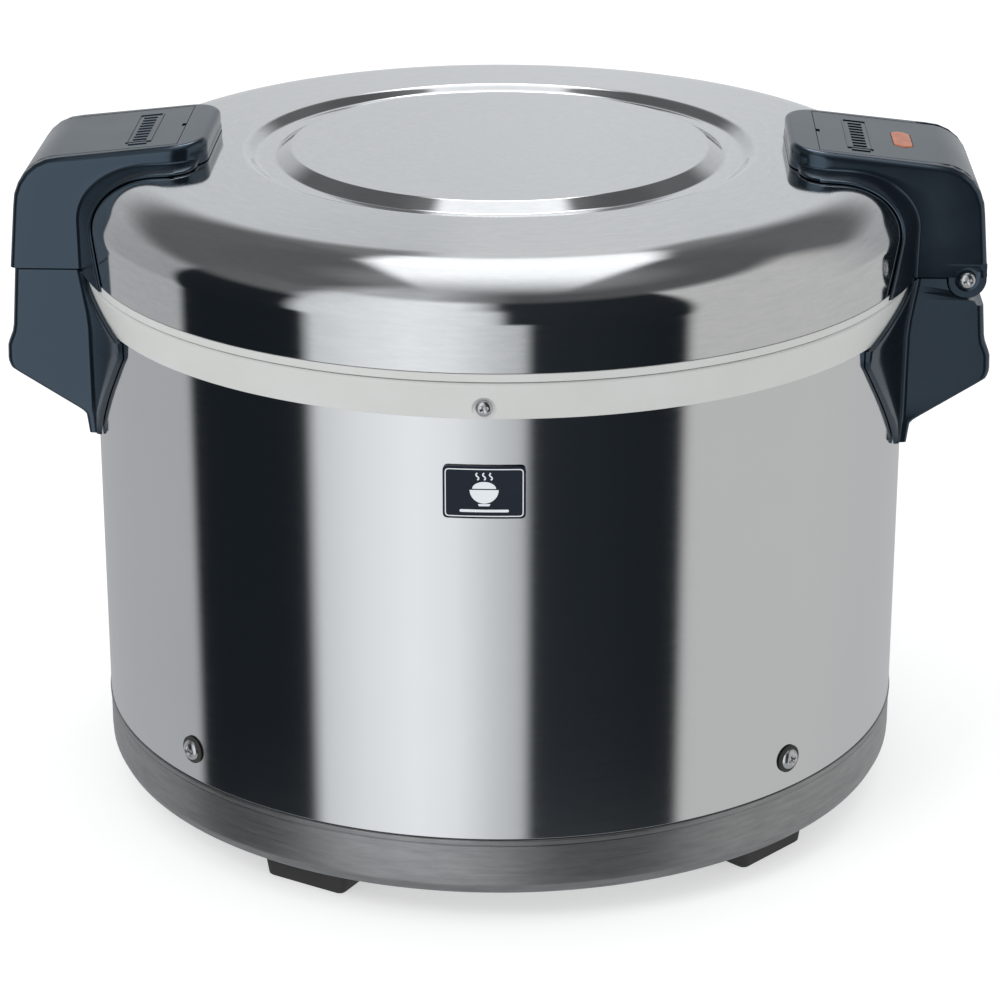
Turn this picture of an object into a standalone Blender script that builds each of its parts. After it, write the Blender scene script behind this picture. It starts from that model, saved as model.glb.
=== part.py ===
"""A commercial keep-warm rice cooker: steel drum, hinged domed lid, two handles and a lift-out pan.

Everything is in metres, +Z is up, the front faces -Y and the hinge is on the +X side.
The origin is on the floor under the middle of the drum.
"""
from math import cos, pi, radians, sin, tan

import bmesh
import bpy
from mathutils import Matrix, Vector

MM = 0.001

# ---- driving dimensions (millimetres, turned to metres by MM where points are made) ----
SEGMENTS = 36               # every turned piece shares this, so their facets line up
SCREW_SIDES = 10
GAP = 0.3                   # clearance between neighbouring pieces

DRUM_R = 175.0              # outside of the body shell
SHELL_T = 0.8
BASE_Z = 12.0               # underside of the base ring
SHELL_Z = 39.4              # bottom edge of the body shell
SHELL_TOP_Z = 228.0
COLLAR_Z = 219.8            # lower edge of the white collar
COLLAR_R = 175.8            # collar radius at its lower edge
RIM_R = 178.4               # radius of collar top, lid frame and lid wall
RIM_Z = 235.1               # parting plane between body and lid
LID_Z = 239.1               # lower edge of the steel lid
LID_TOP_Z = 282.8
LID_T = 1.0
GROOVE = [(108.5, 281.12), (104.1, 277.9), (95.0, 277.9), (89.5, 281.85)]  # (radius, z), inwards
GROOVE_MID_R = 99.5
FLANK_SHIFT = 0.4           # the flanks' inner sides stand this much further apart

HINGE = (196.8, 236.5)      # hinge axis, (x, z); it runs along Y
LOBE_R = 7.4                # hinge lobes of the right arm
BARREL_R = 6.5              # hinge barrel of the right bracket
CHEEK_Y = 35.5              # half length of the barrel, between the two lobes
PIN_R = 2.5                 # hinge pin

ARM_IN = 122.4              # inboard end of each arm, distance from the drum axis
ARM_OUT = 205.4             # outer face of each arm at its foot
ARM_TOP_Z = 290.2           # arm height at its inboard end
ARM_SLOPE = 0.109           # fall of the arm's top per unit outward
ARM_LEAN = 0.07             # lean of the arm's outer face per unit height
ARM_CORNER_R = 19.5
ARM_HALF = 44.0             # half width of an arm at its foot
ARM_DRAFT = 0.13            # how much narrower it gets per unit height
SKIRT_HALF = (49.0, 76.0)   # half width of the arm's skirt on top of the lid and at its lower edge
COVER_IN = 134.5            # inboard end of the cover strips
COVER_HALF = 32.0
COVER_T = 2.5
SEAM_Z = 237.4              # foot of the arms, a hair above the brackets
CAVITY_HALF = 29.0          # half width of the right arm's hollow, under a ledge for its cover
LEVER_HALF = COVER_HALF + GAP   # half width of the left arm's hollow, which the lever sinks into

LATCH_PIVOT = (188.0, 272.0)    # latch pin, (distance from the drum axis, z)
LATCH_SWING = 18.6              # slope in degrees of the slot end that the lever swings past
HOOK_TIP = 189.3                # the hook's tooth ends here
STRIKE_TIP = HOOK_TIP - GAP

FOOT_AZIMUTHS = (-118.5, -42.0, 61.5, 138.0)
FOOT_R = 151.0
SHELL_SCREW_AZIMUTHS = (-135.0, -45.0, 45.0, 135.0)
BRACKET_SCREW = (22.0, 213.0)   # (half spacing along Y, z)
POCKET_TOP_Z = 213.0            # roof of the finger pockets
ARM_SCREW = (150.0, 36.2)       # (distance from the drum axis, half spacing along Y)


LID_NODES = ("outer_lid", "lid_frame", "inner_lid", "lid_gasket", "inner_lid_bush", "lid_heater",
             "lid_insulation", "left_arm", "left_arm_screw_1", "left_arm_screw_2", "latch_pin",
             "latch_spring", "right_arm", "right_arm_screw_1", "right_arm_screw_2",
             "right_arm_cover", "lamp_lens", "lamp_bulb")


# ---- scene and materials ----
def clear_scene():
    """Remove whatever the open file holds."""
    for item in list(bpy.data.objects):
        bpy.data.objects.remove(item, do_unlink=True)


def make_material(name, color, roughness, metallic=0.0):
    """A plain Principled BSDF."""
    material = bpy.data.materials.new(name)
    material.use_nodes = True
    shader = material.node_tree.nodes["Principled BSDF"]
    shader.inputs["Base Color"].default_value = (*color, 1.0)
    shader.inputs["Roughness"].default_value = roughness
    shader.inputs["Metallic"].default_value = metallic
    return material


def make_materials():
    """One material for each finish on the object."""
    return {
        "steel": make_material("polished_steel", (0.72, 0.73, 0.74), 0.22, 1.0),
        "brushed": make_material("brushed_steel", (0.55, 0.56, 0.57), 0.38, 1.0),
        "zinc": make_material("zinc_plated_steel", (0.62, 0.63, 0.65), 0.30, 1.0),
        "aluminium": make_material("aluminium", (0.78, 0.79, 0.80), 0.35, 1.0),
        "white": make_material("white_plastic", (0.78, 0.79, 0.76), 0.45),
        "black": make_material("black_plastic", (0.02, 0.024, 0.03), 0.42),
        "badge": make_material("badge_enamel", (0.02, 0.03, 0.06), 0.25),
        "rubber": make_material("black_rubber", (0.03, 0.03, 0.03), 0.75),
        "silicone": make_material("grey_silicone", (0.55, 0.55, 0.53), 0.60),
        "amber": make_material("amber_lens", (0.75, 0.28, 0.10), 0.25),
        "glass": make_material("lamp_glass", (0.90, 0.75, 0.60), 0.10),
        "wool": make_material("glass_wool", (0.80, 0.72, 0.45), 0.95),
        "mica": make_material("mica_heater", (0.45, 0.36, 0.26), 0.70),
        "ceramic": make_material("ceramic", (0.85, 0.84, 0.80), 0.50),
    }


# ---- mesh helpers ----
def metres(point):
    """A point in millimetres as a vector in metres."""
    return Vector(point) * MM


def finish(bm, name, material=None, sharp_angle=35.0):
    """Close off a bmesh as a scene object, shaded smooth where it is round."""
    bmesh.ops.remove_doubles(bm, verts=bm.verts, dist=1e-6)
    bmesh.ops.recalc_face_normals(bm, faces=bm.faces)
    mesh = bpy.data.meshes.new(name)
    bm.to_mesh(mesh)
    bm.free()
    mesh.shade_smooth()
    mesh.set_sharp_from_angle(angle=radians(sharp_angle))
    item = bpy.data.objects.new(name, mesh)
    bpy.context.collection.objects.link(item)
    if material:
        mesh.materials.append(material)
    return item


def lathe(name, profile, material=None, segments=SEGMENTS):
    """Turn a profile of (radius, z) points about Z.

    A profile whose ends lie on the axis is left open there; any other one is a closed loop.
    """
    bm = bmesh.new()
    verts = [bm.verts.new(metres((r, 0.0, z))) for r, z in profile]
    edges = [bm.edges.new(pair) for pair in zip(verts, verts[1:])]
    if profile[0][0] > 0.0:
        edges.append(bm.edges.new((verts[-1], verts[0])))
    bmesh.ops.spin(bm, geom=verts + edges, cent=(0, 0, 0), axis=(0, 0, 1), angle=2 * pi,
                   steps=segments, use_merge=True)
    return finish(bm, name, material)


def extrude(name, outline, half_width, material=None):
    """Extrude an outline of (x, z) points along Y; half_width is a number or a function of z."""
    width = half_width if callable(half_width) else (lambda z: half_width)
    bm = bmesh.new()
    front = [bm.verts.new(metres((x, -width(z), z))) for x, z in outline]
    back = [bm.verts.new(metres((x, width(z), z))) for x, z in outline]
    join_rings(bm, [front, back])
    return finish(bm, name, material)


def join_rings(bm, rings):
    """Skin a list of vertex rings of equal length and cap both ends."""
    count = len(rings[0])
    for lower, upper in zip(rings, rings[1:]):
        for i in range(count):
            j = (i + 1) % count
            bm.faces.new((lower[i], lower[j], upper[j], upper[i]))
    bm.faces.new(list(reversed(rings[0])))
    bm.faces.new(rings[-1])


def box(name, low, high, material=None, bevel=0.0):
    """A box between two corners, with its edges rounded off by bevel."""
    bm = bmesh.new()
    bmesh.ops.create_cube(bm, size=1.0)
    low, high = metres(low), metres(high)
    size = high - low
    middle = (low + high) / 2
    bmesh.ops.transform(bm, matrix=Matrix.Translation(middle) @ Matrix.Diagonal((*size, 1.0)),
                        verts=bm.verts)
    if bevel:
        bmesh.ops.bevel(bm, geom=bm.edges, offset=bevel * MM, segments=1, affect="EDGES")
    return finish(bm, name, material)


def rod(name, start, end, radius, material=None, sides=12):
    """A plain round bar between two points."""
    start, end = metres(start), metres(end)
    bm = bmesh.new()
    bmesh.ops.create_cone(bm, cap_ends=True, segments=sides, radius1=radius * MM,
                          radius2=radius * MM, depth=(end - start).length)
    item = finish(bm, name, material)
    place_along(item, (start + end) / 2, end - start)
    return item


def place_along(item, location, direction):
    """Move an object made along Z to a place, with its Z along direction."""
    item.location = location
    item.rotation_euler = direction.to_track_quat("Z", "Y").to_euler()


def modify(item, tool, operation):
    """Add an exact Boolean and hide its tool."""
    modifier = item.modifiers.new(tool.name, "BOOLEAN")
    modifier.operation = operation
    modifier.solver = "EXACT"
    modifier.object = tool
    tool.hide_render = True
    tool.display_type = "WIRE"


def cut(item, *tools):
    """Cut tools away from an object."""
    for tool in tools:
        modify(item, tool, "DIFFERENCE")


def fuse(item, *tools):
    """Join tools onto an object."""
    for tool in tools:
        modify(item, tool, "UNION")


def polar(radius, azimuth, z):
    """A point in millimetres at an azimuth in degrees from +X."""
    return (radius * cos(radians(azimuth)), radius * sin(radians(azimuth)), z)


def arc(centre, radius, start, end, steps):
    """Points of an arc in the (x, z) plane, angles in degrees."""
    angles = [radians(start + (end - start) * i / steps) for i in range(steps + 1)]
    return [(centre[0] + radius * cos(a), centre[1] + radius * sin(a)) for a in angles]


def mirrored(outline):
    """The same outline on the -X side."""
    return [(-x, z) for x, z in outline]


def screw(name, seat, direction, head_r, head_h, shank_r, length, material):
    """A round-headed screw whose head sits on the plane through seat and whose shank runs back."""
    profile = [(0.0, head_h), (0.62 * head_r, 0.82 * head_h), (head_r, 0.3 * head_h),
               (head_r, 0.0), (shank_r, 0.0), (shank_r, -length), (0.0, -length)]
    item = lathe(name, profile, material, segments=SCREW_SIDES)
    place_along(item, metres(seat), Vector(direction))


def hole(name, seat, direction, radius, length):
    """A cutter for a round hole that starts above seat and runs back along the screw."""
    seat, direction = Vector(seat), Vector(direction).normalized()
    return rod("cutter_" + name, seat + direction * 4.0, seat - direction * length, radius,
               sides=SCREW_SIDES)


# ---- shared outer shapes ----
def lid_outer_profile(offset=0.0):
    """The steel lid's outer side from its lower edge to the axis, grown by offset."""
    wall = RIM_R - 0.2 + offset
    shoulder = arc((wall - 21.0 - offset, 257.4), 21.0 + offset, 0.0, 84.0, 5)
    groove = [(radius, z + offset) for radius, z in GROOVE]
    return [(wall, LID_Z)] + shoulder + groove + [(0.0, LID_TOP_Z + offset)]


def body_envelope():
    """A solid a little larger than drum, collar and closed lid, which trims what hugs them."""
    wall = RIM_R + 0.35
    shoulder = [point for point in lid_outer_profile(GAP) if point[1] > 250.0 and point[0] > 120.0]
    profile = [(0.0, 100.0), (DRUM_R + GAP, 100.0), (DRUM_R + GAP, COLLAR_Z - 0.5),
               (COLLAR_R + GAP, COLLAR_Z - 0.4), (wall, RIM_Z - 0.5), (wall, 250.0)]
    profile += shoulder + [(GROOVE[0][0], GROOVE[0][1] + GAP), (0.0, 282.6)]
    return lathe("cutter_envelope", profile)


def arm_corner():
    """Where the arm's sloping top would meet its leaning outer face."""
    x = ARM_OUT
    for _ in range(8):
        z = ARM_TOP_Z - ARM_SLOPE * (x - ARM_IN)
        x = ARM_OUT - ARM_LEAN * (z - SEAM_Z)
    return x, z


def arm_run(inset, start, end_z=None):
    """The arm's outer line, moved in by inset: from start on its top, round its corner, down."""
    corner_x, corner_z = arm_corner()
    top_angle = 90.0 - ARM_SLOPE * 180.0 / pi
    face_angle = ARM_LEAN * 180.0 / pi
    reach = ARM_CORNER_R * tan(radians(top_angle - face_angle) / 2)
    centre_x = corner_x - reach * cos(radians(90.0 - top_angle)) - ARM_CORNER_R * cos(radians(top_angle))
    centre_z = corner_z + reach * sin(radians(90.0 - top_angle)) - ARM_CORNER_R * sin(radians(top_angle))
    bend = arc((centre_x, centre_z), ARM_CORNER_R - inset, top_angle, face_angle, 6)
    first = (start, bend[0][1] + ARM_SLOPE * (bend[0][0] - start))
    run = [first] + bend
    if end_z is not None:
        run.append((bend[-1][0] + ARM_LEAN * (bend[-1][1] - end_z), end_z))
    return run


def arm_width(z):
    """Half width of an arm at a height."""
    return ARM_HALF - ARM_DRAFT * (z - SEAM_Z)


def bracket_width(z):
    """Half width of a lower bracket at a height."""
    return ARM_HALF + 0.035 * (RIM_Z - z)


# ---- base ----
def build_base(mats):
    """Base ring, bottom plate, four feet and their screws."""
    ring = lathe("base_ring", [
        (132.0, BASE_Z), (168.4, BASE_Z), (172.8, 14.2), (175.0, 18.2), (175.4, 22.0), (175.4, 38.3),
        (174.9, 39.1), (173.8, 39.1), (173.8, 60.0), (172.3, 60.0), (172.3, 19.0), (167.6, 13.6),
        (132.0, 13.6)], mats["brushed"])
    plate = lathe("bottom_plate", [(0.0, 13.9), (165.0, 13.9), (165.0, 15.5), (0.0, 15.5)],
                  mats["zinc"])
    for number, azimuth in enumerate(FOOT_AZIMUTHS, 1):
        foot = build_foot("foot_%d" % number, azimuth, mats["rubber"])
        seat = polar(FOOT_R, azimuth, 4.0)
        screw("foot_screw_%d" % number, seat, (0, 0, -1), 3.6, 2.2, 1.75, 15.0, mats["zinc"])
        shaft = hole("foot_hole_%d" % number, seat, (0, 0, -1), 1.75 + GAP, 20.0)
        counterbore = rod("cutter_foot_bore_%d" % number, polar(FOOT_R, azimuth, -1.0),
                          polar(FOOT_R, azimuth, 4.0 + GAP), 4.4)
        cut(foot, shaft, counterbore)
        cut(ring, shaft)
        cut(plate, shaft)
    return ring


def build_foot(name, azimuth, material):
    """A moulded foot: a block with rounded upright edges, slightly narrower at the floor."""
    half_length, half_depth, height = 20.5, 11.0, BASE_Z - GAP
    bm = bmesh.new()
    bmesh.ops.create_cube(bm, size=1.0)
    for vert in bm.verts:
        draft = 1.0 if vert.co.z > 0.0 else 0.93
        vert.co = metres((vert.co.x * 2 * half_depth * draft, vert.co.y * 2 * half_length * draft,
                          (vert.co.z + 0.5) * height))
    uprights = [e for e in bm.edges if abs(e.verts[0].co.z - e.verts[1].co.z) > 0.005]
    bmesh.ops.bevel(bm, geom=uprights, offset=4.0 * MM, segments=2, profile=0.5, affect="EDGES")
    foot = finish(bm, name, material)
    foot.location = metres(polar(FOOT_R, azimuth, 0.0))
    foot.rotation_euler = (0.0, 0.0, radians(azimuth))
    return foot


# ---- drum ----
def build_shell(mats, ring):
    """Body shell with its screws and the badge."""
    shell = lathe("body_shell", [
        (DRUM_R, SHELL_Z), (DRUM_R, SHELL_TOP_Z), (DRUM_R - SHELL_T, SHELL_TOP_Z),
        (DRUM_R - SHELL_T, SHELL_Z)], mats["steel"])
    for number, azimuth in enumerate(SHELL_SCREW_AZIMUTHS, 1):
        seat = Vector(polar(DRUM_R + GAP, azimuth, 53.0))
        outward = Vector(polar(1.0, azimuth, 0.0))
        screw("shell_screw_%d" % number, seat, outward, 4.8, 2.6, 2.0, 8.0, mats["zinc"])
        shaft = hole("shell_hole_%d" % number, seat, outward, 2.0 + GAP, 10.0)
        cut(shell, shaft)
        cut(ring, shaft)
    build_badge(mats)
    return shell


def build_badge(mats):
    """A small curved plate on the front of the drum."""
    half_angle = 16.15 / DRUM_R * 180.0 / pi
    inner, outer = DRUM_R + GAP, DRUM_R + GAP + 1.2
    azimuths = [-90.0 + half_angle * k / 2 for k in (-2, -1, 0, 1, 2)]
    outline = [polar(outer, a, 0.0) for a in azimuths] + [polar(inner, a, 0.0) for a in reversed(azimuths)]
    bm = bmesh.new()
    rings = [[bm.verts.new(metres((x, y, z))) for x, y, _ in outline] for z in (178.9, 200.5)]
    join_rings(bm, rings)
    finish(bm, "badge_plate", mats["badge"])


def build_collar(mats, shell):
    """White collar that caps the shell and carries the pan, with two radial screws."""
    collar = lathe("collar_ring", [
        (COLLAR_R, COLLAR_Z), (RIM_R, 234.5), (RIM_R - 0.6, RIM_Z), (149.0, RIM_Z), (149.0, 232.0),
        (143.2, 232.0), (143.2, 229.6), (151.4, 229.6), (151.4, 232.7), (171.6, 232.7),
        (171.6, COLLAR_Z + 1.0), (173.8, COLLAR_Z + 1.0), (173.8, 229.0), (175.4, 229.0),
        (175.4, COLLAR_Z)], mats["white"])
    for name, azimuth in (("front", -90.0), ("rear", 90.0)):
        seat = Vector(polar(176.4, azimuth, 224.4))
        outward = Vector(polar(1.0, azimuth, 0.0))
        screw("collar_screw_" + name, seat, outward, 3.3, 1.5, 1.5, 6.5, mats["zinc"])
        shaft = hole("collar_hole_" + name, seat, outward, 1.5 + GAP, 9.0)
        recess = rod("cutter_collar_recess_" + name, seat - outward * GAP, seat + outward * 6.0, 4.7)
        cut(collar, shaft, recess)
        cut(shell, shaft)


# ---- inside the drum ----
def build_inside(mats):
    """Liner, pan, heaters, sensors, insulation and wiring parts."""
    lathe("liner_well", [
        (0.0, 58.0), (136.0, 58.0), (142.4, 61.6), (144.4, 68.0), (144.4, 228.1), (151.0, 228.1),
        (151.0, 229.3), (143.4, 229.3), (143.4, 68.3), (141.6, 62.4), (135.6, 59.0), (0.0, 59.0)],
        mats["aluminium"])
    lathe("inner_pan", [
        (0.0, 66.0), (118.0, 66.0), (132.0, 70.8), (138.0, 85.0), (138.0, 232.3), (148.2, 232.3),
        (148.2, 233.5), (136.8, 233.5), (136.8, 85.3), (131.2, 71.8), (117.8, 67.2), (0.0, 67.2)],
        mats["steel"])
    lathe("side_heater", [(144.8, 90.0), (147.2, 90.0), (147.2, 190.0), (144.8, 190.0)], mats["mica"])
    lathe("base_heater", [(80.0, 53.4), (118.0, 53.4), (118.0, 57.6), (80.0, 57.6)], mats["mica"])
    lathe("insulation_blanket", [(149.5, 72.0), (166.0, 72.0), (166.0, 205.0), (149.5, 205.0)],
          mats["wool"])
    lathe("thermostat", [
        (0.0, 43.0), (9.0, 43.0), (9.0, 50.0), (16.0, 50.0), (16.0, 57.6), (0.0, 57.6)],
        mats["ceramic"], segments=16)
    rod("thermal_fuse", (45.0, -12.0, 55.0), (45.0, 12.0, 55.0), 2.4, mats["zinc"], sides=10)
    box("terminal_block", (-24.0, 108.0, 15.8), (24.0, 126.0, 33.8), mats["ceramic"], bevel=1.5)


def build_gland(mats, shell):
    """Rubber bush low on the back, where the supply lead enters."""
    centre_z = 70.0
    gland = rod("cord_gland", (0.0, 166.0, centre_z), (0.0, 178.2, centre_z), 7.0, mats["rubber"], 16)
    bore = rod("cutter_gland_bore", (0.0, 160.0, centre_z), (0.0, 184.0, centre_z), 4.2)
    window = rod("cutter_gland_window", (0.0, 160.0, centre_z), (0.0, 184.0, centre_z), 7.0 + GAP,
                 sides=16)
    cut(gland, bore)
    cut(shell, window)


# ---- lower brackets ----
def flange_solid(name, side):
    """The kite-shaped flange by which a bracket hugs drum and collar."""
    levels = [(165.0, 15.2, 177.6), (176.0, 18.5, 178.0), (200.0, 26.0, 178.0), (212.0, 29.5, 178.0),
              (218.8, 29.5, 178.6), (234.0, 15.5, 181.2)]
    bm = bmesh.new()
    rings = []
    for z, reach, radius in levels:
        outer = [polar(radius, reach * k / 4, z) for k in range(-4, 5)]
        inner = [polar(168.0, reach * k, z) for k in (1, -1)]
        rings.append([bm.verts.new(metres((side * x, y, z))) for x, y, z in outer + inner])
    join_rings(bm, rings)
    return finish(bm, name)


def finger_pocket(name, side):
    """Hollow under a bracket that the fingers reach into."""
    outline = [(181.5, 150.0), (204.2, 150.0), (204.2, 196.0), (201.0, 207.0),
               (200.2, POCKET_TOP_Z), (181.5, POCKET_TOP_Z)]
    return extrude("cutter_" + name, [(side * x, z) for x, z in outline], 38.0)


def bracket_underside():
    """Side outline of a bracket from its inner tip, up its slanting underside to its outer face."""
    return [(160.0, 164.8), (174.3, 164.8), (175.5, 173.4), (206.9, 193.0), (208.2, 196.5),
            (208.0, 203.5), (205.4, 210.0)]


def build_bracket(name, side, outline, mats, envelope, shell):
    """A lower handle bracket with flange and finger pocket, screwed on from inside the shell."""
    bracket = extrude(name, [(side * x, z) for x, z in outline], bracket_width, mats["black"])
    fuse(bracket, flange_solid("tool_%s_flange" % name, side))
    cut(bracket, envelope, finger_pocket(name + "_pocket", side))
    half, z = BRACKET_SCREW
    inner_x = (DRUM_R ** 2 - half ** 2) ** 0.5 - SHELL_T - 1.2
    for number, y in enumerate((-half, half), 1):
        seat = Vector((side * inner_x, y, z))
        screw("%s_screw_%d" % (name, number), seat, (-side, 0, 0), 3.6, 2.2, 1.75, 6.0, mats["zinc"])
        shaft = hole("%s_hole_%d" % (name, number), seat, (-side, 0, 0), 1.75 + GAP, 6.4)
        cut(bracket, shaft)
        cut(shell, shaft)
    return bracket


def build_left_bracket(mats, envelope, shell):
    """Latch-side bracket with the slot that the hook drops into, and the steel strike."""
    outline = bracket_underside() + [(203.6, SEAM_Z - 0.6), (160.0, SEAM_Z - 0.6)]
    bracket = build_bracket("left_bracket", -1, outline, mats, envelope, shell)
    slot = box("cutter_latch_slot", (-199.0, -12.0, 218.0), (-184.0, 12.0, 242.0))
    cut(bracket, slot)
    strike = [(184.3, 220.0), (186.3, 220.0), (186.3, 231.8), (STRIKE_TIP, 231.8),
              (STRIKE_TIP, 234.2), (186.3, 236.0), (184.3, 236.0)]
    extrude("latch_strike", mirrored(strike), 10.0, mats["zinc"])


def build_right_bracket(mats, envelope, shell):
    """Hinge-side bracket with a concave seat for the lobes and a barrel between them."""
    seat = arc(HINGE, LOBE_R + 1.2, 188.0, 290.0, 6)
    outline = bracket_underside() + [(204.7, 224.9), (200.8, 225.5)] + list(reversed(seat))
    outline += [(188.2, SEAM_Z - 0.6), (160.0, SEAM_Z - 0.6)]
    bracket = build_bracket("right_bracket", 1, outline, mats, envelope, shell)
    half = CHEEK_Y
    web = [(189.6, 220.0), (199.0, 220.0), (199.0, HINGE[1]), (191.2, HINGE[1] + 3.0), (189.6, 232.0)]
    fuse(bracket, extrude("tool_hinge_web", web, half - 0.02))
    fuse(bracket, rod("tool_hinge_barrel", (HINGE[0], -half, HINGE[1]), (HINGE[0], half, HINGE[1]),
                      BARREL_R, sides=16))
    cut(bracket, hinge_bore("bracket"))


def hinge_bore(name):
    """A cutter along the hinge axis, a clearance larger than the pin."""
    return rod("cutter_hinge_" + name, (HINGE[0], -60.0, HINGE[1]), (HINGE[0], 60.0, HINGE[1]),
               PIN_R + GAP)


def build_hinge_pin(mats):
    """Steel pin on the hinge axis, held by a screw at each end."""
    half = 40.0
    pin = rod("hinge_pin", (HINGE[0], -half, HINGE[1]), (HINGE[0], half, HINGE[1]), PIN_R,
              mats["zinc"])
    for name, way in (("front", -1), ("rear", 1)):
        seat = Vector((HINGE[0], way * (ARM_HALF + 0.75), HINGE[1]))
        screw("hinge_screw_" + name, seat, (0, way, 0), 3.5, 1.8, 1.3, 8.5, mats["zinc"])
        cut(pin, hole("pin_thread_" + name, seat, (0, way, 0), 1.3 + GAP, 11.0))


# ---- lid ----
def build_lid(mats):
    """Steel lid, white frame, inner lid, gasket, heater and insulation."""
    outer = lid_outer_profile()
    wall = outer[0][0] - LID_T
    shoulder = arc((wall - 20.0, 257.4), 20.0, 84.0, 0.0, 5)
    inner = [(0.0, LID_TOP_Z - LID_T)]
    for radius, z in reversed(GROOVE):
        shift = FLANK_SHIFT if radius > GROOVE_MID_R else -FLANK_SHIFT
        inner.append((radius + shift, z - LID_T))
    lid = lathe("outer_lid", outer + inner + shoulder + [(wall, LID_Z)], mats["steel"])
    lathe("lid_frame", [
        (RIM_R, 235.5), (RIM_R, 238.7), (176.8, 238.7), (176.8, 244.0), (175.2, 244.0),
        (175.2, 237.6), (151.0, 237.6), (151.0, 241.0), (149.2, 241.0), (149.2, 235.5)],
        mats["white"])
    lathe("inner_lid", [
        (5.0, 239.4), (118.0, 239.4), (134.0, 236.6), (148.8, 236.6), (148.8, 237.6), (134.2, 237.6),
        (118.2, 240.4), (5.0, 240.4)], mats["aluminium"])
    lathe("lid_gasket", [
        (139.4, 236.2), (140.6, 234.6), (143.0, 233.8), (145.4, 234.6), (147.6, 236.2)],
        mats["silicone"])
    lathe("inner_lid_bush", [
        (0.0, 236.8), (8.0, 236.8), (8.0, 239.1), (4.6, 239.1), (4.6, 240.8), (6.6, 240.8),
        (6.6, 242.4), (0.0, 243.0)], mats["silicone"], segments=16)
    lathe("lid_heater", [(30.0, 243.6), (126.0, 243.6), (126.0, 245.2), (30.0, 245.2)], mats["mica"])
    lathe("lid_insulation", [(0.0, 245.6), (146.0, 245.6), (146.0, 262.0), (128.0, 272.0),
                             (0.0, 272.0)], mats["wool"])
    return lid


def round_arm(item_name, outline, material, mirror):
    """An arm block: drafted sides, rounded inboard corners and softened top edges."""
    side = -1 if mirror else 1
    bm = bmesh.new()
    front = [bm.verts.new(metres((side * x, -arm_width(z), z))) for x, z in outline]
    back = [bm.verts.new(metres((side * x, arm_width(z), z))) for x, z in outline]
    join_rings(bm, [front, back])
    bmesh.ops.recalc_face_normals(bm, faces=bm.faces)
    inboard = [e for e in bm.edges
               if all(abs(abs(v.co.x) - ARM_IN * MM) < 1e-5 for v in e.verts)
               and abs(e.verts[0].co.z - e.verts[1].co.z) > 0.004]
    bmesh.ops.bevel(bm, geom=inboard, offset=11.0 * MM, segments=3, profile=0.5, affect="EDGES")
    bmesh.ops.recalc_face_normals(bm, faces=bm.faces)
    bmesh.ops.bevel(bm, geom=arm_top_rim(bm), offset=3.6 * MM, segments=2, profile=0.5,
                    affect="EDGES")
    return finish(bm, item_name, material)


def arm_top_rim(bm):
    """The edges round an arm's top and outer face, where it meets its sides."""
    def is_top(face):
        centre = face.calc_center_median()
        outside = face.normal.z > 0.2 or abs(centre.x) > (ARM_OUT - 6.0) * MM
        return outside and abs(face.normal.y) < 0.3 and centre.z > (SEAM_Z + 0.1) * MM
    return [e for e in bm.edges if len(e.link_faces) == 2
            and is_top(e.link_faces[0]) != is_top(e.link_faces[1])
            and max(v.co.z for v in e.verts) > 0.245]


def arm_skirt(name, side, bottom):
    """The thin flange by which an arm hugs the lid, wider towards its lower edge."""
    outer = [p for p in lid_outer_profile(3.0) if p[0] > 128.0]
    outer[0] = (RIM_R + 2.8, bottom)
    inner = [p for p in reversed(lid_outer_profile(-3.0)) if p[0] > 128.0]
    inner[-1] = (RIM_R - 3.2, bottom)
    end = ARM_IN + 1.5
    profile = outer + [(end, 283.4), (end, 276.0)] + inner
    bm = bmesh.new()
    rings = []
    for k in range(-3, 4):
        ring = []
        for r, z in profile:
            drop = max(0.0, (LID_TOP_Z - 3.0 - z) / (LID_TOP_Z - 3.0 - bottom))
            y = (SKIRT_HALF[0] + (SKIRT_HALF[1] - SKIRT_HALF[0]) * drop) * k / 3
            x = r if r == end else (r * r - y * y) ** 0.5
            ring.append(bm.verts.new(metres((side * x, y, z))))
        rings.append(ring)
    join_rings(bm, rings)
    return finish(bm, name)


def cover_band(inset, thickness, start):
    """Outline of a strip that follows the arm's top and corner."""
    outside = arm_run(inset, start)
    inside = arm_run(inset + thickness, start)
    return outside + list(reversed(inside))


def cover_slot(name, side):
    """Cutter for the strip's seat; its inboard end leans so that a lever can swing past it."""
    lean = tan(radians(LATCH_SWING))
    top = arm_run(-3.0, COVER_IN - GAP + 3.0 * lean)
    bottom = arm_run(COVER_T + GAP, COVER_IN - GAP - lean * (COVER_T + GAP))
    end = top[-1]
    last = bottom[-1]
    outline = top + [(end[0], end[1] - GAP), (last[0], last[1] - GAP)] + list(reversed(bottom))
    return extrude("cutter_" + name, [(side * x, z) for x, z in outline], COVER_HALF + GAP)


def arm_cavity(name, side, half):
    """Cutter for the hollow inside an arm, open below."""
    lean = tan(radians(LATCH_SWING))
    roof = arm_run(COVER_T - 0.6, COVER_IN - lean * 2.0)
    wall = arm_run(3.6, COVER_IN, 225.0)[-2:]
    floor = [(181.2, 225.0), (181.2, 258.0), (178.6, 269.6), (171.0, 277.6), (160.0, 281.2),
             (COVER_IN - lean * 8.0, 283.0)]
    outline = roof[:-1] + wall + floor
    return extrude("cutter_" + name, [(side * x, z) for x, z in outline], half)


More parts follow.
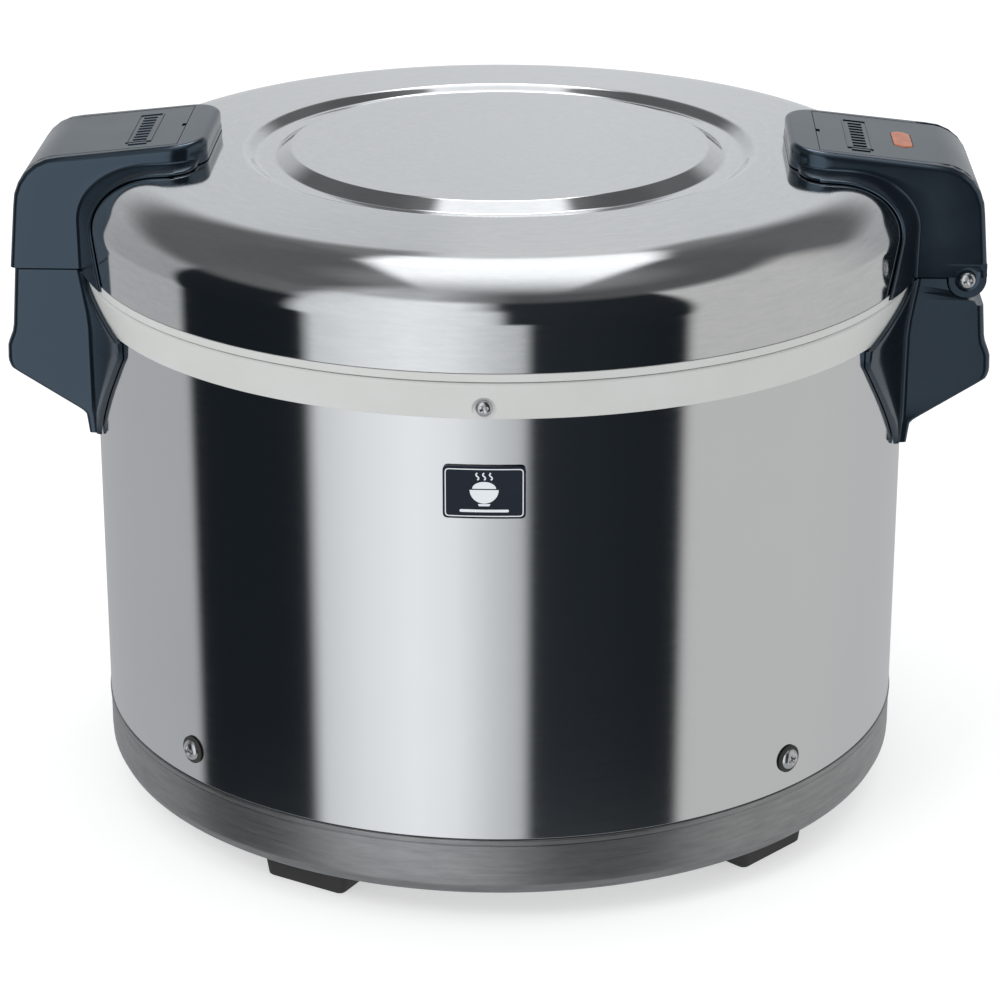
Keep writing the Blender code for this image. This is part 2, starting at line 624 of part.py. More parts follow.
def build_arm(name, side, outline, cavity_half, mats, envelope, lid):
    """An upper arm: hollow moulding that hugs the lid, held by two screws from inside it."""
    arm = round_arm(name, outline, mats["black"], side < 0)
    fuse(arm, arm_skirt("tool_%s_skirt" % name, side, SEAM_Z))
    cut(arm, envelope, arm_cavity(name + "_cavity", side, cavity_half),
        cover_slot(name + "_slot", side))
    for number, way in enumerate((-1, 1), 1):
        seat = Vector((side * ARM_SCREW[0], way * ARM_SCREW[1], 277.2))
        screw("%s_screw_%d" % (name, number), seat, (0, 0, -1), 3.4, 2.0, 1.6, 8.4, mats["zinc"])
        shaft = hole("%s_hole_%d" % (name, number), seat, (0, 0, -1), 1.6 + GAP, 8.8)
        cut(arm, shaft)
        cut(lid, shaft)
    return arm


def build_left_arm(mats, envelope, lid):
    """Latch-side arm."""
    outline = [(ARM_IN, 268.0)] + arm_run(0.0, ARM_IN, SEAM_Z) + [(168.0, SEAM_Z), (150.0, 262.0)]
    arm = build_arm("left_arm", -1, outline, LEVER_HALF, mats, envelope, lid)
    x, z = -LATCH_PIVOT[0], LATCH_PIVOT[1]
    cut(arm, rod("cutter_latch_bore", (x, -38.3, z), (x, 38.3, z), 1.5 + GAP))
    rod("latch_pin", (x, -38.0, z), (x, 38.0, z), 1.5, mats["zinc"])


def build_latch(mats):
    """Lever whose cover plate is pressed down and whose hook swings outward, and its spring."""
    lever = extrude("latch_lever", mirrored(cover_band(0.0, COVER_T, COVER_IN)), COVER_HALF,
                    mats["black"])
    hook = [(191.6, 281.6), (191.6, 229.6), (HOOK_TIP, 228.8), (HOOK_TIP, 227.0), (191.0, 225.8),
            (194.2, 225.8), (194.2, 280.8)]
    ribs = [(185.2, 283.4), (185.2, 271.0), (190.8, 271.0), (190.8, 282.6)]
    x, z = -LATCH_PIVOT[0], LATCH_PIVOT[1]
    fuse(lever, extrude("tool_latch_hook", mirrored(hook), 9.0),
         extrude("tool_latch_rib", mirrored(ribs), 9.0),
         rod("tool_latch_boss", (x, -13.8, z), (x, 13.8, z), 4.4),
         extrude("tool_latch_tie", mirrored([(189.0, 273.0), (193.0, 268.0), (193.0, 276.0)]), 8.4))
    cut(lever, rod("cutter_latch_pivot", (x, -20.0, z), (x, 20.0, z), 1.5 + GAP))
    spring = rod("latch_spring", (x, 14.4, z), (x, 26.0, z), 3.6, mats["zinc"])
    cut(spring, rod("cutter_spring_bore", (x, 10.0, z), (x, 30.0, z), 1.5 + 2 * GAP))


def build_right_arm(mats, envelope, lid):
    """Hinge-side arm with two lobes, its cover strip and the lamp under it."""
    lobe = arc(HINGE, LOBE_R, -8.0, -178.0, 8)
    outline = [(ARM_IN, 268.0)] + arm_run(0.0, ARM_IN, 243.0) + lobe
    outline += [(189.4, SEAM_Z), (168.0, SEAM_Z), (150.0, 262.0)]
    arm = build_arm("right_arm", 1, outline, CAVITY_HALF, mats, envelope, lid)
    half = CHEEK_Y + 0.5
    notch = box("cutter_lobe_notch", (188.6, -half, 224.0), (207.0, half, HINGE[1] + 3.6))
    round_notch = rod("cutter_barrel_notch", (HINGE[0], -half, HINGE[1]), (HINGE[0], half, HINGE[1]),
                      LOBE_R - 0.1, sides=24)
    cut(arm, notch, round_notch, hinge_bore("arm"))
    cover = extrude("right_arm_cover", cover_band(0.0, COVER_T, COVER_IN), COVER_HALF, mats["black"])
    build_lamp(mats, cover)


def build_lamp(mats, cover):
    """Amber lens let into the right cover, with a small bulb below it."""
    half_x, half_y = 4.0, 12.0
    lens_x = 171.0
    top = arm_run(0.0, lens_x)[0][1] + 0.5
    lens_plan = [(-half_x, -half_y + 2.5), (-half_x + 2.5, -half_y), (half_x - 2.5, -half_y),
                 (half_x, -half_y + 2.5), (half_x, half_y - 2.5), (half_x - 2.5, half_y),
                 (-half_x + 2.5, half_y), (-half_x, half_y - 2.5)]
    prism("lamp_lens", [(lens_x + x, y) for x, y in lens_plan], top - 3.2, top, mats["amber"])
    grow = 1.0 + GAP / half_x
    window = prism("cutter_lamp_window", [(lens_x + x * grow, y * grow) for x, y in lens_plan],
                   top - 10.0, top + 10.0)
    cut(cover, window)
    rod("lamp_bulb", (lens_x + 1.0, -9.0, top - 6.0), (lens_x + 1.0, 9.0, top - 6.0), 1.8,
        mats["glass"], sides=10)


def prism(name, plan, low, high, material=None):
    """An upright prism over a plan of (x, y) points."""
    bm = bmesh.new()
    rings = [[bm.verts.new(metres((x, y, z))) for x, y in plan] for z in (low, high)]
    join_rings(bm, rings)
    return finish(bm, name, material)


# ---- joint axes ----
def axis_empty(name, point, parent=None):
    """An empty on a joint's axis."""
    empty = bpy.data.objects.new(name, None)
    bpy.context.collection.objects.link(empty)
    empty.location = metres(point)
    bpy.context.view_layer.update()
    if parent:
        hang(empty, parent)
    return empty


def hang(item, parent):
    """Parent an object without moving it."""
    item.parent = parent
    item.matrix_parent_inverse = parent.matrix_world.inverted()


def hang_on_axes():
    """Hang the lid's pieces on the hinge axis and the lever on its pin, itself carried by the lid."""
    hinge = axis_empty("lid_hinge_axis", (HINGE[0], 0.0, HINGE[1]))
    pivot = axis_empty("latch_press_axis", (-LATCH_PIVOT[0], 0.0, LATCH_PIVOT[1]), hinge)
    for name in LID_NODES:
        hang(bpy.data.objects[name], hinge)
    hang(bpy.data.objects["latch_lever"], pivot)


def main():
    """Build every piece of the rice cooker."""
    clear_scene()
    mats = make_materials()
    envelope = body_envelope()
    ring = build_base(mats)
    shell = build_shell(mats, ring)
    build_collar(mats, shell)
    build_inside(mats)
    build_gland(mats, shell)
    build_left_bracket(mats, envelope, shell)
    build_right_bracket(mats, envelope, shell)
    build_hinge_pin(mats)
    lid = build_lid(mats)
    build_left_arm(mats, envelope, lid)
    build_latch(mats)
    build_right_arm(mats, envelope, lid)
    hang_on_axes()


main()
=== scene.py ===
"""Looks of the keep-warm rice cooker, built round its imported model.

Pieces are made in millimetres in the frame of the CAD and scaled to metres once.
"""
from math import atan2, cos, degrees, hypot, pi, radians, sin, tan

import bmesh
import bpy
from mathutils import Matrix, Vector


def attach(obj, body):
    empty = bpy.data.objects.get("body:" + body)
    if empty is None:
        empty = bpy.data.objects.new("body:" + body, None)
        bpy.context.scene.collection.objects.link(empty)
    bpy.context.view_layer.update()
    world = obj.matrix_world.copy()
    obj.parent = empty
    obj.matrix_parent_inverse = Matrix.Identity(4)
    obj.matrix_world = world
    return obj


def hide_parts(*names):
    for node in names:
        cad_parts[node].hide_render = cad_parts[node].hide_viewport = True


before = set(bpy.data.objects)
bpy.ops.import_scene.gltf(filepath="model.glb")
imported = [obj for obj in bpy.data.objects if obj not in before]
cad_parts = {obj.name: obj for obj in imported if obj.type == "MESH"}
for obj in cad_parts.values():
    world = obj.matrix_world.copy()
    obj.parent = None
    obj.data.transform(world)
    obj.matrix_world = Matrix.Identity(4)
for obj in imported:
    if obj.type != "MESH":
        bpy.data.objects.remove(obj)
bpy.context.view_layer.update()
MM = 0.001
TURN = 180                      # segments of the large turned pieces

# ---- dimensions shared with the CAD, in millimetres ----
DRUM_R = 175.0
LID_R = 178.2                   # lid wall
RIM_R = 178.4
SHOULDER = (148.2, 257.4)       # centre of the shoulder's ellipse, whose half axes follow
SHOULDER_AXES = (30.0, 21.46)
SHOULDER_END = 85.5             # the ellipse's parameter where the flat top begins, in degrees
GROOVE_LIP = (108.5, 281.12)    # outer edge of the groove in the lid's top
LID_FALL = 0.0554               # slope of the lid's top outside the groove
HINGE = (196.8, 236.5)
LOBE_R = 7.4
LOBE_OUT_R = 8.2                # the lobes' rounding, which runs into the arm's outer face
BARREL_R = 6.5
CHEEK_Y = 35.5
ARM_IN = 122.4
ARM_OUT = 205.4
ARM_TOP_Z = 290.13
ARM_SLOPE = 0.109
ARM_LEAN = 0.07
ARM_CORNER_R = 19.5
ARM_HALF = 44.0
ARM_DRAFT = 0.13
SEAM_Z = 237.4
BRACKET_TOP = 236.8
COVER_IN = 134.5
COVER_HALF = 32.0
COVER_T = 2.5
CAVITY_HALF = 29.0              # half width of the right arm's hollow, under a ledge for its cover
GAP = 0.3
LATCH_PIVOT = (188.0, 272.0)
LATCH_SWING = 18.6              # slope in degrees of the slot end that the lever swings past
FOOT_AZIMUTHS = (-118.5, -42.0, 61.5, 138.0)
FOOT_R = 151.0
COLLAR_SCREW_Z = 224.4
BRACKET_SCREW = (22.0, 213.0)   # (half spacing along Y, z)
ARM_SCREW = (150.0, 36.2, 277.2)    # (distance from the drum axis, half spacing along Y, z)
BADGE_Z = 189.7                 # middle of the badge
BORE_R = 2.8                    # bore round the hinge pin

# ---- looks only, in millimetres ----
HUG = 0.4                       # clearance between an arm and the lid it hugs
SKIRT_T = 2.6                   # thickness of the skirt where it meets the arm
SKIRT_HALF = (49.0, 76.0)       # half width of the skirt on top of the lid and at the arm's foot
SKIRT_TOP_Z = 279.8             # height above which the skirt keeps its smaller half width
SKIRT_END = 10.3                # reach of the skirt at the start of the inboard corner, where it fades
SKIRT_EDGE = 0.3                # reach of the skirt along the inboard end
PLAN_R = 15.0                   # plan radius of an arm's inboard corners
EDGE_R = 3.0                    # rounding of an arm's top edge


# ---- mesh helpers ----
def finished(bm, name, angle=32.0, weighted=True):
    """Turn a bmesh in millimetres into an object in metres, smooth where it is round."""
    bmesh.ops.remove_doubles(bm, verts=bm.verts, dist=0.002)
    bmesh.ops.recalc_face_normals(bm, faces=bm.faces)
    bmesh.ops.scale(bm, vec=(MM, MM, MM), verts=bm.verts)
    mesh = bpy.data.meshes.new(name)
    bm.to_mesh(mesh)
    bm.free()
    item = bpy.data.objects.new(name, mesh)
    bpy.context.scene.collection.objects.link(item)
    smooth(item, angle, weighted)
    return item


def smooth(item, angle=32.0, weighted=True):
    """Shade smooth below an angle, with large faces kept flat."""
    item.data.shade_smooth()
    item.data.set_sharp_from_angle(angle=radians(angle))
    if weighted:
        item.modifiers.new("flat faces", "WEIGHTED_NORMAL").keep_sharp = True


def dress(item, material, body, slot, *nodes):
    """Give a piece its material and body, and hide the CAD nodes that it stands for."""
    item.data.materials.clear()
    item.data.materials.append(material)
    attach(item, body)
    if nodes:
        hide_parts(*nodes)
    return item


def rounded(points, steps=4, closed=True):
    """A polyline whose points may carry a third number, the radius that rounds them."""
    result = []
    count = len(points)
    for i, point in enumerate(points):
        here = Vector(point[:2])
        radius = point[2] if len(point) > 2 else 0.0
        if not radius or (not closed and i in (0, count - 1)):
            result.append(tuple(here))
            continue
        before = Vector(points[i - 1][:2]) - here
        after = Vector(points[(i + 1) % count][:2]) - here
        half = before.angle(after) / 2
        reach = min(radius / tan(half), before.length * 0.49, after.length * 0.49)
        start = here + before.normalized() * reach
        end = here + after.normalized() * reach
        for k in range(steps + 1):
            t = k / steps
            result.append(tuple(start * (1 - t) ** 2 + here * 2 * t * (1 - t) + end * t * t))
    return result


def arc(centre, radius, start, end, steps):
    """Points of an arc, angles in degrees."""
    angles = [radians(start + (end - start) * i / steps) for i in range(steps + 1)]
    return [(centre[0] + radius * cos(a), centre[1] + radius * sin(a)) for a in angles]


def lathe(name, profile, segments=TURN, angle=32.0):
    """Turn a profile of (radius, z) about Z: a closed loop, or open with both ends on the axis."""
    bm = bmesh.new()
    verts = [bm.verts.new((r, 0.0, z)) for r, z in profile]
    edges = [bm.edges.new(pair) for pair in zip(verts, verts[1:])]
    if profile[0][0] > 0.0:
        edges.append(bm.edges.new((verts[-1], verts[0])))
    bmesh.ops.spin(bm, geom=verts + edges, cent=(0, 0, 0), axis=(0, 0, 1), angle=2 * pi,
                   steps=segments, use_merge=True)
    return finished(bm, name, angle)


def skin(bm, rings):
    """Join rings of points with faces and cap both ends."""
    made = [[bm.verts.new(point) for point in ring] for ring in rings]
    count = len(made[0])
    for lower, upper in zip(made, made[1:]):
        for i in range(count):
            j = (i + 1) % count
            bm.faces.new((lower[i], lower[j], upper[j], upper[i]))
    bm.faces.new(list(reversed(made[0])))
    bm.faces.new(made[-1])


def slab(name, outline, half, edge=0.0):
    """Extrude an outline of (x, z) along Y, with its rim rounded by edge."""
    bm = bmesh.new()
    skin(bm, [[(x, y, z) for x, z in outline] for y in (-half, half)])
    if edge:
        rim = [e for e in bm.edges if len({round(v.co.y, 3) for v in e.verts}) == 1]
        bmesh.ops.recalc_face_normals(bm, faces=bm.faces)
        bmesh.ops.bevel(bm, geom=rim, offset=edge, segments=3, profile=0.5, affect="EDGES")
    return finished(bm, name)


def block(name, low, high, edge=0.0):
    """A box between two corners with rounded edges."""
    bm = bmesh.new()
    bmesh.ops.create_cube(bm, size=1.0)
    low, high = Vector(low), Vector(high)
    bmesh.ops.scale(bm, vec=high - low, verts=bm.verts)
    bmesh.ops.translate(bm, vec=(low + high) / 2, verts=bm.verts)
    if edge:
        bmesh.ops.bevel(bm, geom=bm.edges, offset=edge, segments=3, profile=0.5, affect="EDGES")
    return finished(bm, name)


def along(start, end):
    """The matrix that takes Z to the line between two points."""
    start, end = Vector(start), Vector(end)
    turn = (end - start).to_track_quat("Z", "Y").to_matrix().to_4x4()
    return Matrix.Translation(start) @ turn


def bar(name, start, end, radius, sides=48, edge=0.0):
    """A round bar between two points with softened ends."""
    length = (Vector(end) - Vector(start)).length
    edge = min(edge, length / 3, radius / 3)
    profile = [(0.0, 0.0), (radius - edge, 0.0)]
    if edge:
        profile += arc((radius - edge, edge), edge, -90, 0, 3)[1:]
        profile += arc((radius - edge, length - edge), edge, 0, 90, 3)
    else:
        profile += [(radius, 0.0), (radius, length)]
    profile += [(0.0, length)]
    bm = bmesh.new()
    verts = [bm.verts.new((r, 0.0, z)) for r, z in profile]
    edges = [bm.edges.new(pair) for pair in zip(verts, verts[1:]) if pair[0].co != pair[1].co]
    bmesh.ops.spin(bm, geom=verts + edges, cent=(0, 0, 0), axis=(0, 0, 1), angle=2 * pi,
                   steps=sides, use_merge=True)
    bmesh.ops.transform(bm, matrix=along(start, end), verts=bm.verts)
    return finished(bm, name)


def carve(item, tool, operation="DIFFERENCE"):
    """Cut a tool away from a piece, or join it on, and remove the tool."""
    item.modifiers.clear()
    change = item.modifiers.new("carve", "BOOLEAN")
    change.operation = operation
    change.solver = "EXACT"
    change.object = tool
    bpy.context.view_layer.update()
    seen = item.evaluated_get(bpy.context.evaluated_depsgraph_get())
    mesh = bpy.data.meshes.new_from_object(seen)
    item.modifiers.clear()
    item.data = mesh
    bpy.data.objects.remove(tool)
    smooth(item)


def tube(name, path, radius, sides=10):
    """A round tube that follows a path of points."""
    rings = []
    for i, point in enumerate(path):
        ahead = Vector(path[min(i + 1, len(path) - 1)]) - Vector(path[max(i - 1, 0)])
        across = ahead.orthogonal().normalized() if i == 0 else (
            across - ahead * across.dot(ahead) / ahead.length_squared).normalized()
        third = ahead.normalized().cross(across)
        rings.append([Vector(point) + (across * cos(a) + third * sin(a)) * radius
                      for a in (2 * pi * k / sides for k in range(sides))])
    bm = bmesh.new()
    skin(bm, rings)
    return finished(bm, name, weighted=False)


def polar(radius, azimuth, z):
    """A point at an azimuth in degrees from +X."""
    return Vector((radius * cos(radians(azimuth)), radius * sin(radians(azimuth)), z))


# ---- materials ----
class Nodes:
    """Short ways to add nodes to a tree."""

    def __init__(self, tree):
        self.nodes, self.links = tree.nodes, tree.links

    def add(self, kind, inputs=(), **settings):
        """A node with some inputs set or linked."""
        node = self.nodes.new(kind)
        for key, value in settings.items():
            setattr(node, key, value)
        for key, value in dict(inputs).items():
            if isinstance(value, bpy.types.NodeSocket):
                self.links.new(value, node.inputs[key])
            else:
                node.inputs[key].default_value = value
        return node

    def math(self, operation, first, second=0.0):
        """One math node's result."""
        return self.add("ShaderNodeMath", {0: first, 1: second}, operation=operation).outputs[0]

    def step(self, value, start, end):
        """0 up to start and 1 past end, with a soft change between; start may be the larger."""
        return self.add("ShaderNodeMapRange", {"Value": value, "From Min": start, "From Max": end},
                        interpolation_type="SMOOTHSTEP").outputs["Result"]

    def mix(self, factor, first, second):
        """A colour between two, each a colour or a socket."""
        first, second = ((*c, 1.0) if isinstance(c, tuple) else c for c in (first, second))
        node = self.add("ShaderNodeMix", {"Factor": factor}, data_type="RGBA")
        for key, value in (("A", first), ("B", second)):
            if isinstance(value, bpy.types.NodeSocket):
                self.links.new(value, node.inputs[key])
            else:
                node.inputs[key].default_value = value
        return node.outputs["Result"]


class Paint(Nodes):
    """A Principled material."""

    def __init__(self, name, color, roughness, metallic=0.0, **sockets):
        self.material = bpy.data.materials.new(name)
        self.material.use_nodes = True
        super().__init__(self.material.node_tree)
        self.shader = self.nodes["Principled BSDF"]
        self.color = color
        self.shader.inputs["Base Color"].default_value = (*color, 1.0)
        self.shader.inputs["Roughness"].default_value = roughness
        self.shader.inputs["Metallic"].default_value = metallic
        for socket, value in sockets.items():
            self.shader.inputs[socket.replace("_", " ")].default_value = value
        self.coords = self.add("ShaderNodeTexCoord").outputs["Object"]

    def round_coords(self, around, up, radial):
        """Coordinates that run round the Z axis, up it and out from it, each scaled."""
        parts = self.add("ShaderNodeSeparateXYZ", {0: self.coords}).outputs
        angle = self.math("ARCTAN2", parts["Y"], parts["X"])
        squares = self.math("ADD", self.math("MULTIPLY", parts["X"], parts["X"]),
                            self.math("MULTIPLY", parts["Y"], parts["Y"]))
        out = self.math("SQRT", squares)
        return self.add("ShaderNodeCombineXYZ", {
            "X": self.math("MULTIPLY", angle, around), "Y": self.math("MULTIPLY", parts["Z"], up),
            "Z": self.math("MULTIPLY", out, radial)}).outputs[0]

    def noise(self, scale, detail=3.0, vector=None, roughness=0.55):
        """Noise between about 0.3 and 0.7."""
        return self.add("ShaderNodeTexNoise", {
            "Vector": vector or self.coords, "Scale": scale, "Detail": detail,
            "Roughness": roughness}).outputs["Fac"]

    def spread(self, value, low, high, start=0.3, end=0.7):
        """A value remapped from start..end to low..high."""
        return self.add("ShaderNodeMapRange", {
            "Value": value, "From Min": start, "From Max": end, "To Min": low,
            "To Max": high}).outputs["Result"]

    def vary_roughness(self, value, low, high):
        """Drive the roughness with a value."""
        self.links.new(self.spread(value, low, high), self.shader.inputs["Roughness"])

    def vary_color(self, value, other):
        """Mix towards another colour with a value."""
        mixed = self.mix(self.spread(value, 0.0, 1.0), self.color, other)
        self.links.new(mixed, self.shader.inputs["Base Color"])

    def bump(self, height, strength, distance):
        """Drive the normal with a height, one on top of another."""
        inputs = {"Height": height, "Strength": strength, "Distance": distance}
        socket = self.shader.inputs["Normal"]
        if socket.links:
            inputs["Normal"] = socket.links[0].from_socket
        self.links.new(self.add("ShaderNodeBump", inputs).outputs[0], socket)

    def grooves_round_z(self, amount, turned):
        """Stretch reflections across grooves that run round the Z axis."""
        self.shader.inputs["Anisotropic"].default_value = amount
        self.shader.inputs["Anisotropic Rotation"].default_value = turned
        tangent = self.add("ShaderNodeTangent", direction_type="RADIAL", axis="Z").outputs[0]
        self.links.new(tangent, self.shader.inputs["Tangent"])


def steel_sheet():
    """Drum sheet: drawn steel with hairlines round it."""
    paint = Paint("drum_steel", (0.80, 0.81, 0.82), 0.12, 1.0)
    hair = paint.noise(1.0, 2.0, paint.round_coords(5.0, 5200.0, 0.0))
    paint.vary_roughness(hair, 0.07, 0.12)
    paint.vary_color(paint.noise(9.0, 4.0), (0.775, 0.787, 0.80))
    paint.bump(hair, 0.03, 0.0001)
    paint.bump(paint.noise(14.0, 1.0), 0.04, 0.001)
    return paint.material


def spun_steel(name="lid_steel", low=0.06, high=0.10, groove=0.05):
    """Spun steel: fine grooves round the axis on top and round the wall."""
    paint = Paint(name, (0.80, 0.805, 0.81), 0.14, 1.0)
    lines = paint.noise(1.0, 2.0, paint.round_coords(1.2, 3800.0, 3800.0))
    paint.vary_roughness(lines, low, high)
    paint.bump(lines, groove, 0.0001)
    grain = paint.noise(1.0, 5.0, paint.round_coords(14.0, 420.0, 420.0), 0.8)
    paint.vary_color(grain, (0.715, 0.735, 0.745))
    paint.grooves_round_z(0.40, 0.25)
    return paint.material


def ring_steel():
    """Base ring: coarser brushed steel, a little dull."""
    paint = Paint("ring_steel", (0.43, 0.435, 0.44), 0.34, 1.0)
    lines = paint.noise(1.0, 3.0, paint.round_coords(3.0, 2600.0, 2600.0))
    paint.vary_roughness(lines, 0.30, 0.44)
    paint.vary_color(paint.noise(1.0, 4.0, paint.round_coords(14.0, 500.0, 500.0)), (0.34, 0.345, 0.35))
    paint.bump(lines, 0.22, 0.0002)
    paint.grooves_round_z(0.5, 0.25)
    return paint.material


def zinc():
    """Bright plated screws and pins."""
    paint = Paint("zinc_plating", (0.74, 0.75, 0.77), 0.24, 1.0)
    cloud = paint.noise(420.0, 3.0)
    paint.vary_roughness(cloud, 0.16, 0.34)
    paint.vary_color(paint.noise(160.0, 3.0), (0.62, 0.63, 0.64))
    paint.bump(cloud, 0.12, 0.0002)
    return paint.material


def aluminium():
    """Satin pressed aluminium."""
    paint = Paint("satin_aluminium", (0.78, 0.79, 0.80), 0.36, 1.0)
    lines = paint.noise(1.0, 3.0, paint.round_coords(6.0, 1500.0, 1500.0))
    paint.vary_roughness(lines, 0.30, 0.44)
    paint.bump(lines, 0.15, 0.0002)
    paint.vary_color(paint.noise(30.0, 4.0), (0.70, 0.71, 0.72))
    return paint.material


def moulded(name, color, other, roughness, grain, depth, **sockets):
    """Moulded plastic or rubber with a fine grain and faint unevenness."""
    paint = Paint(name, color, roughness, 0.0, **sockets)
    fine = paint.noise(grain, 2.0)
    broad = paint.noise(28.0, 4.0)
    paint.vary_roughness(broad, roughness - 0.05, roughness + 0.06)
    paint.vary_color(broad, other)
    paint.bump(fine, depth, 0.0001)
    paint.bump(paint.noise(40.0, 1.0), 0.04, 0.0006)
    return paint.material


def amber():
    """Lamp lens: clear amber over a ribbed back."""
    paint = Paint("amber_plastic", (0.42, 0.105, 0.04), 0.25, 0.0)
    paint.vary_color(paint.noise(220.0, 3.0), (0.52, 0.17, 0.08))
    paint.bump(paint.noise(700.0, 1.0), 0.06, 0.0001)
    return paint.material


def fibre():
    """Matted glass wool."""
    paint = Paint("glass_wool", (0.80, 0.72, 0.45), 0.95)
    strands = paint.noise(900.0, 6.0, roughness=0.75)
    paint.vary_color(strands, (0.62, 0.52, 0.28))
    paint.bump(strands, 0.8, 0.002)
    return paint.material


MATS = {
    "drum": steel_sheet(),
    "lid": spun_steel(),
    "pan": spun_steel("pan_steel", 0.16, 0.26, 0.05),
    "ring": ring_steel(),
    "zinc": zinc(),
    "aluminium": aluminium(),
    "white": moulded("white_plastic", (0.55, 0.56, 0.55), (0.52, 0.527, 0.51), 0.34, 1500.0, 0.05),
    "black": moulded("black_plastic", (0.005, 0.008, 0.011), (0.007, 0.010, 0.014), 0.17, 2600.0,
                     0.08, IOR=1.7, Specular_IOR_Level=0.75, Specular_Tint=(0.57, 0.78, 1.0, 1.0)),
    "badge": moulded("badge_enamel", (0.005, 0.009, 0.018), (0.007, 0.012, 0.023), 0.28, 900.0, 0.02,
                     Specular_IOR_Level=0.25),
    "print": moulded("badge_print", (0.70, 0.73, 0.76), (0.64, 0.67, 0.70), 0.35, 900.0, 0.02),
    "rubber": moulded("black_rubber", (0.022, 0.022, 0.023), (0.035, 0.034, 0.033), 0.62, 1200.0, 0.3),
    "silicone": moulded("grey_silicone", (0.55, 0.55, 0.53), (0.50, 0.50, 0.48), 0.5, 900.0, 0.06),
    "amber": amber(),
    "glass": moulded("lamp_glass", (0.85, 0.70, 0.52), (0.80, 0.62, 0.45), 0.12, 600.0, 0.02),
    "wool": fibre(),
    "mica": moulded("mica_sheet", (0.45, 0.36, 0.26), (0.33, 0.25, 0.17), 0.55, 500.0, 0.3),
    "ceramic": moulded("fired_ceramic", (0.85, 0.84, 0.80), (0.78, 0.76, 0.71), 0.45, 700.0, 0.15),
}


# ---- drum ----
def make_drum():
    """Base ring, shell, collar and the shell's seam."""
    ring = lathe("base_ring_fine", rounded([
        (132.0, 12.0, 0.5), (168.4, 12.0, 3.0), (172.8, 14.2, 3.0), (174.8, 18.2, 3.0),
        (175.0, 22.0), (175.0, 36.0), (174.7, 36.3, 0.2), (175.3, 36.8, 0.4), (175.4, 38.7, 0.6),
        (174.2, 39.1, 0.4), (173.8, 39.6), (173.8, 60.0), (172.3, 60.0), (172.3, 19.0, 2.0),
        (167.6, 13.6, 2.0), (132.0, 13.6, 0.5)]))
    dress(ring, MATS["ring"], "base", "brushed_steel", "base_ring")
    shell = lathe("body_shell_fine", rounded([
        (175.0, 39.4, 0.3), (175.0, 80.0), (175.0, 130.0), (175.0, 180.0), (175.0, 228.0),
        (174.2, 228.0), (174.2, 39.4)]))
    carve(shell, bar("gland_window", (0, 160, 70), (0, 190, 70), 7.3))
    dress(shell, MATS["drum"], "base", "polished_steel", "body_shell")
    collar = lathe("collar_fine", rounded([
        (175.8, 219.8, 0.5), (178.35, 234.0, 0.9), (177.6, 235.1, 0.5), (149.0, 235.1, 0.8),
        (149.0, 232.0), (143.2, 232.0, 0.5), (143.2, 229.6, 0.5), (151.4, 229.6), (151.4, 232.7),
        (171.6, 232.7), (171.6, 220.8), (173.8, 220.8), (173.8, 229.0), (175.4, 229.0),
        (175.4, 219.8)]))
    for azimuth in (-90.0, 90.0):
        carve(collar, bar("recess", polar(176.1, azimuth, COLLAR_SCREW_Z),
                          polar(184.0, azimuth, COLLAR_SCREW_Z), 4.7))
    dress(collar, MATS["white"], "base", "white_plastic", "collar_ring")
    make_seam()


def make_seam():
    """The lapped seam of the drum sheet, a thin raised strip up the back."""
    bm = bmesh.new()
    rings = []
    for z in (42.0, 218.5):
        rings.append([polar(r, 97.0 + a, z) for a, r in
                      ((-1.0, 174.9), (-0.9, 175.22), (0.9, 175.22), (1.0, 174.9))])
    skin(bm, rings)
    dress(finished(bm, "shell_seam"), MATS["drum"], "base", "polished_steel")


def bend(point):
    """From the badge's flat drawing (across, up, proud) to the drum's front."""
    across, up, proud = point
    radius = DRUM_R + GAP + proud
    azimuth = -90.0 + degrees(across / (DRUM_R + GAP))
    return polar(radius, azimuth, BADGE_Z + up)


def plate(bm, outline, low, high):
    """Add a plate over a flat outline, bent round the drum."""
    rings = [[bend((x, y, level)) for x, y in outline] for level in (low, high)]
    skin(bm, rings)


def ribbon(points, half):
    """Outline of a line of some width through points."""
    left, right = [], []
    for i, point in enumerate(points):
        ahead = Vector(points[min(i + 1, len(points) - 1)]) - Vector(points[max(i - 1, 0)])
        across = Vector((-ahead.y, ahead.x)).normalized() * half
        left.append(tuple(Vector(point) + across))
        right.append(tuple(Vector(point) - across))
    return left + list(reversed(right))


def divided(outline, longest=1.5):
    """An outline with its long sides divided, so that it bends smoothly."""
    result = []
    for i, point in enumerate(outline):
        here, after = Vector(point), Vector(outline[(i + 1) % len(outline)])
        steps = max(1, int((after - here).length / longest))
        result += [tuple(here.lerp(after, k / steps)) for k in range(steps)]
    return result


def frame_outline(half_x, half_y, corner, steps=4):
    """A rounded rectangle about the origin."""
    return rounded([(-half_x, -half_y, corner), (half_x, -half_y, corner), (half_x, half_y, corner),
                    (-half_x, half_y, corner)], steps)


def grid_plate(bm, half_x, half_y, corner, low, high):
    """The badge's own plate: a rounded rectangle with a softened rim, bent in strips."""
    rim = 0.35
    rings = [divided(frame_outline(half_x - inset, half_y - inset, corner), 1.0)
             for inset in (0.0, 0.0, rim)]
    count = min(len(ring) for ring in rings)
    rings = [[ring[int(i * len(ring) / count)] for i in range(count)] for ring in rings]
    skin(bm, [[bend((x, y, level)) for x, y in ring]
              for ring, level in zip(rings, (low, high - rim, high))])


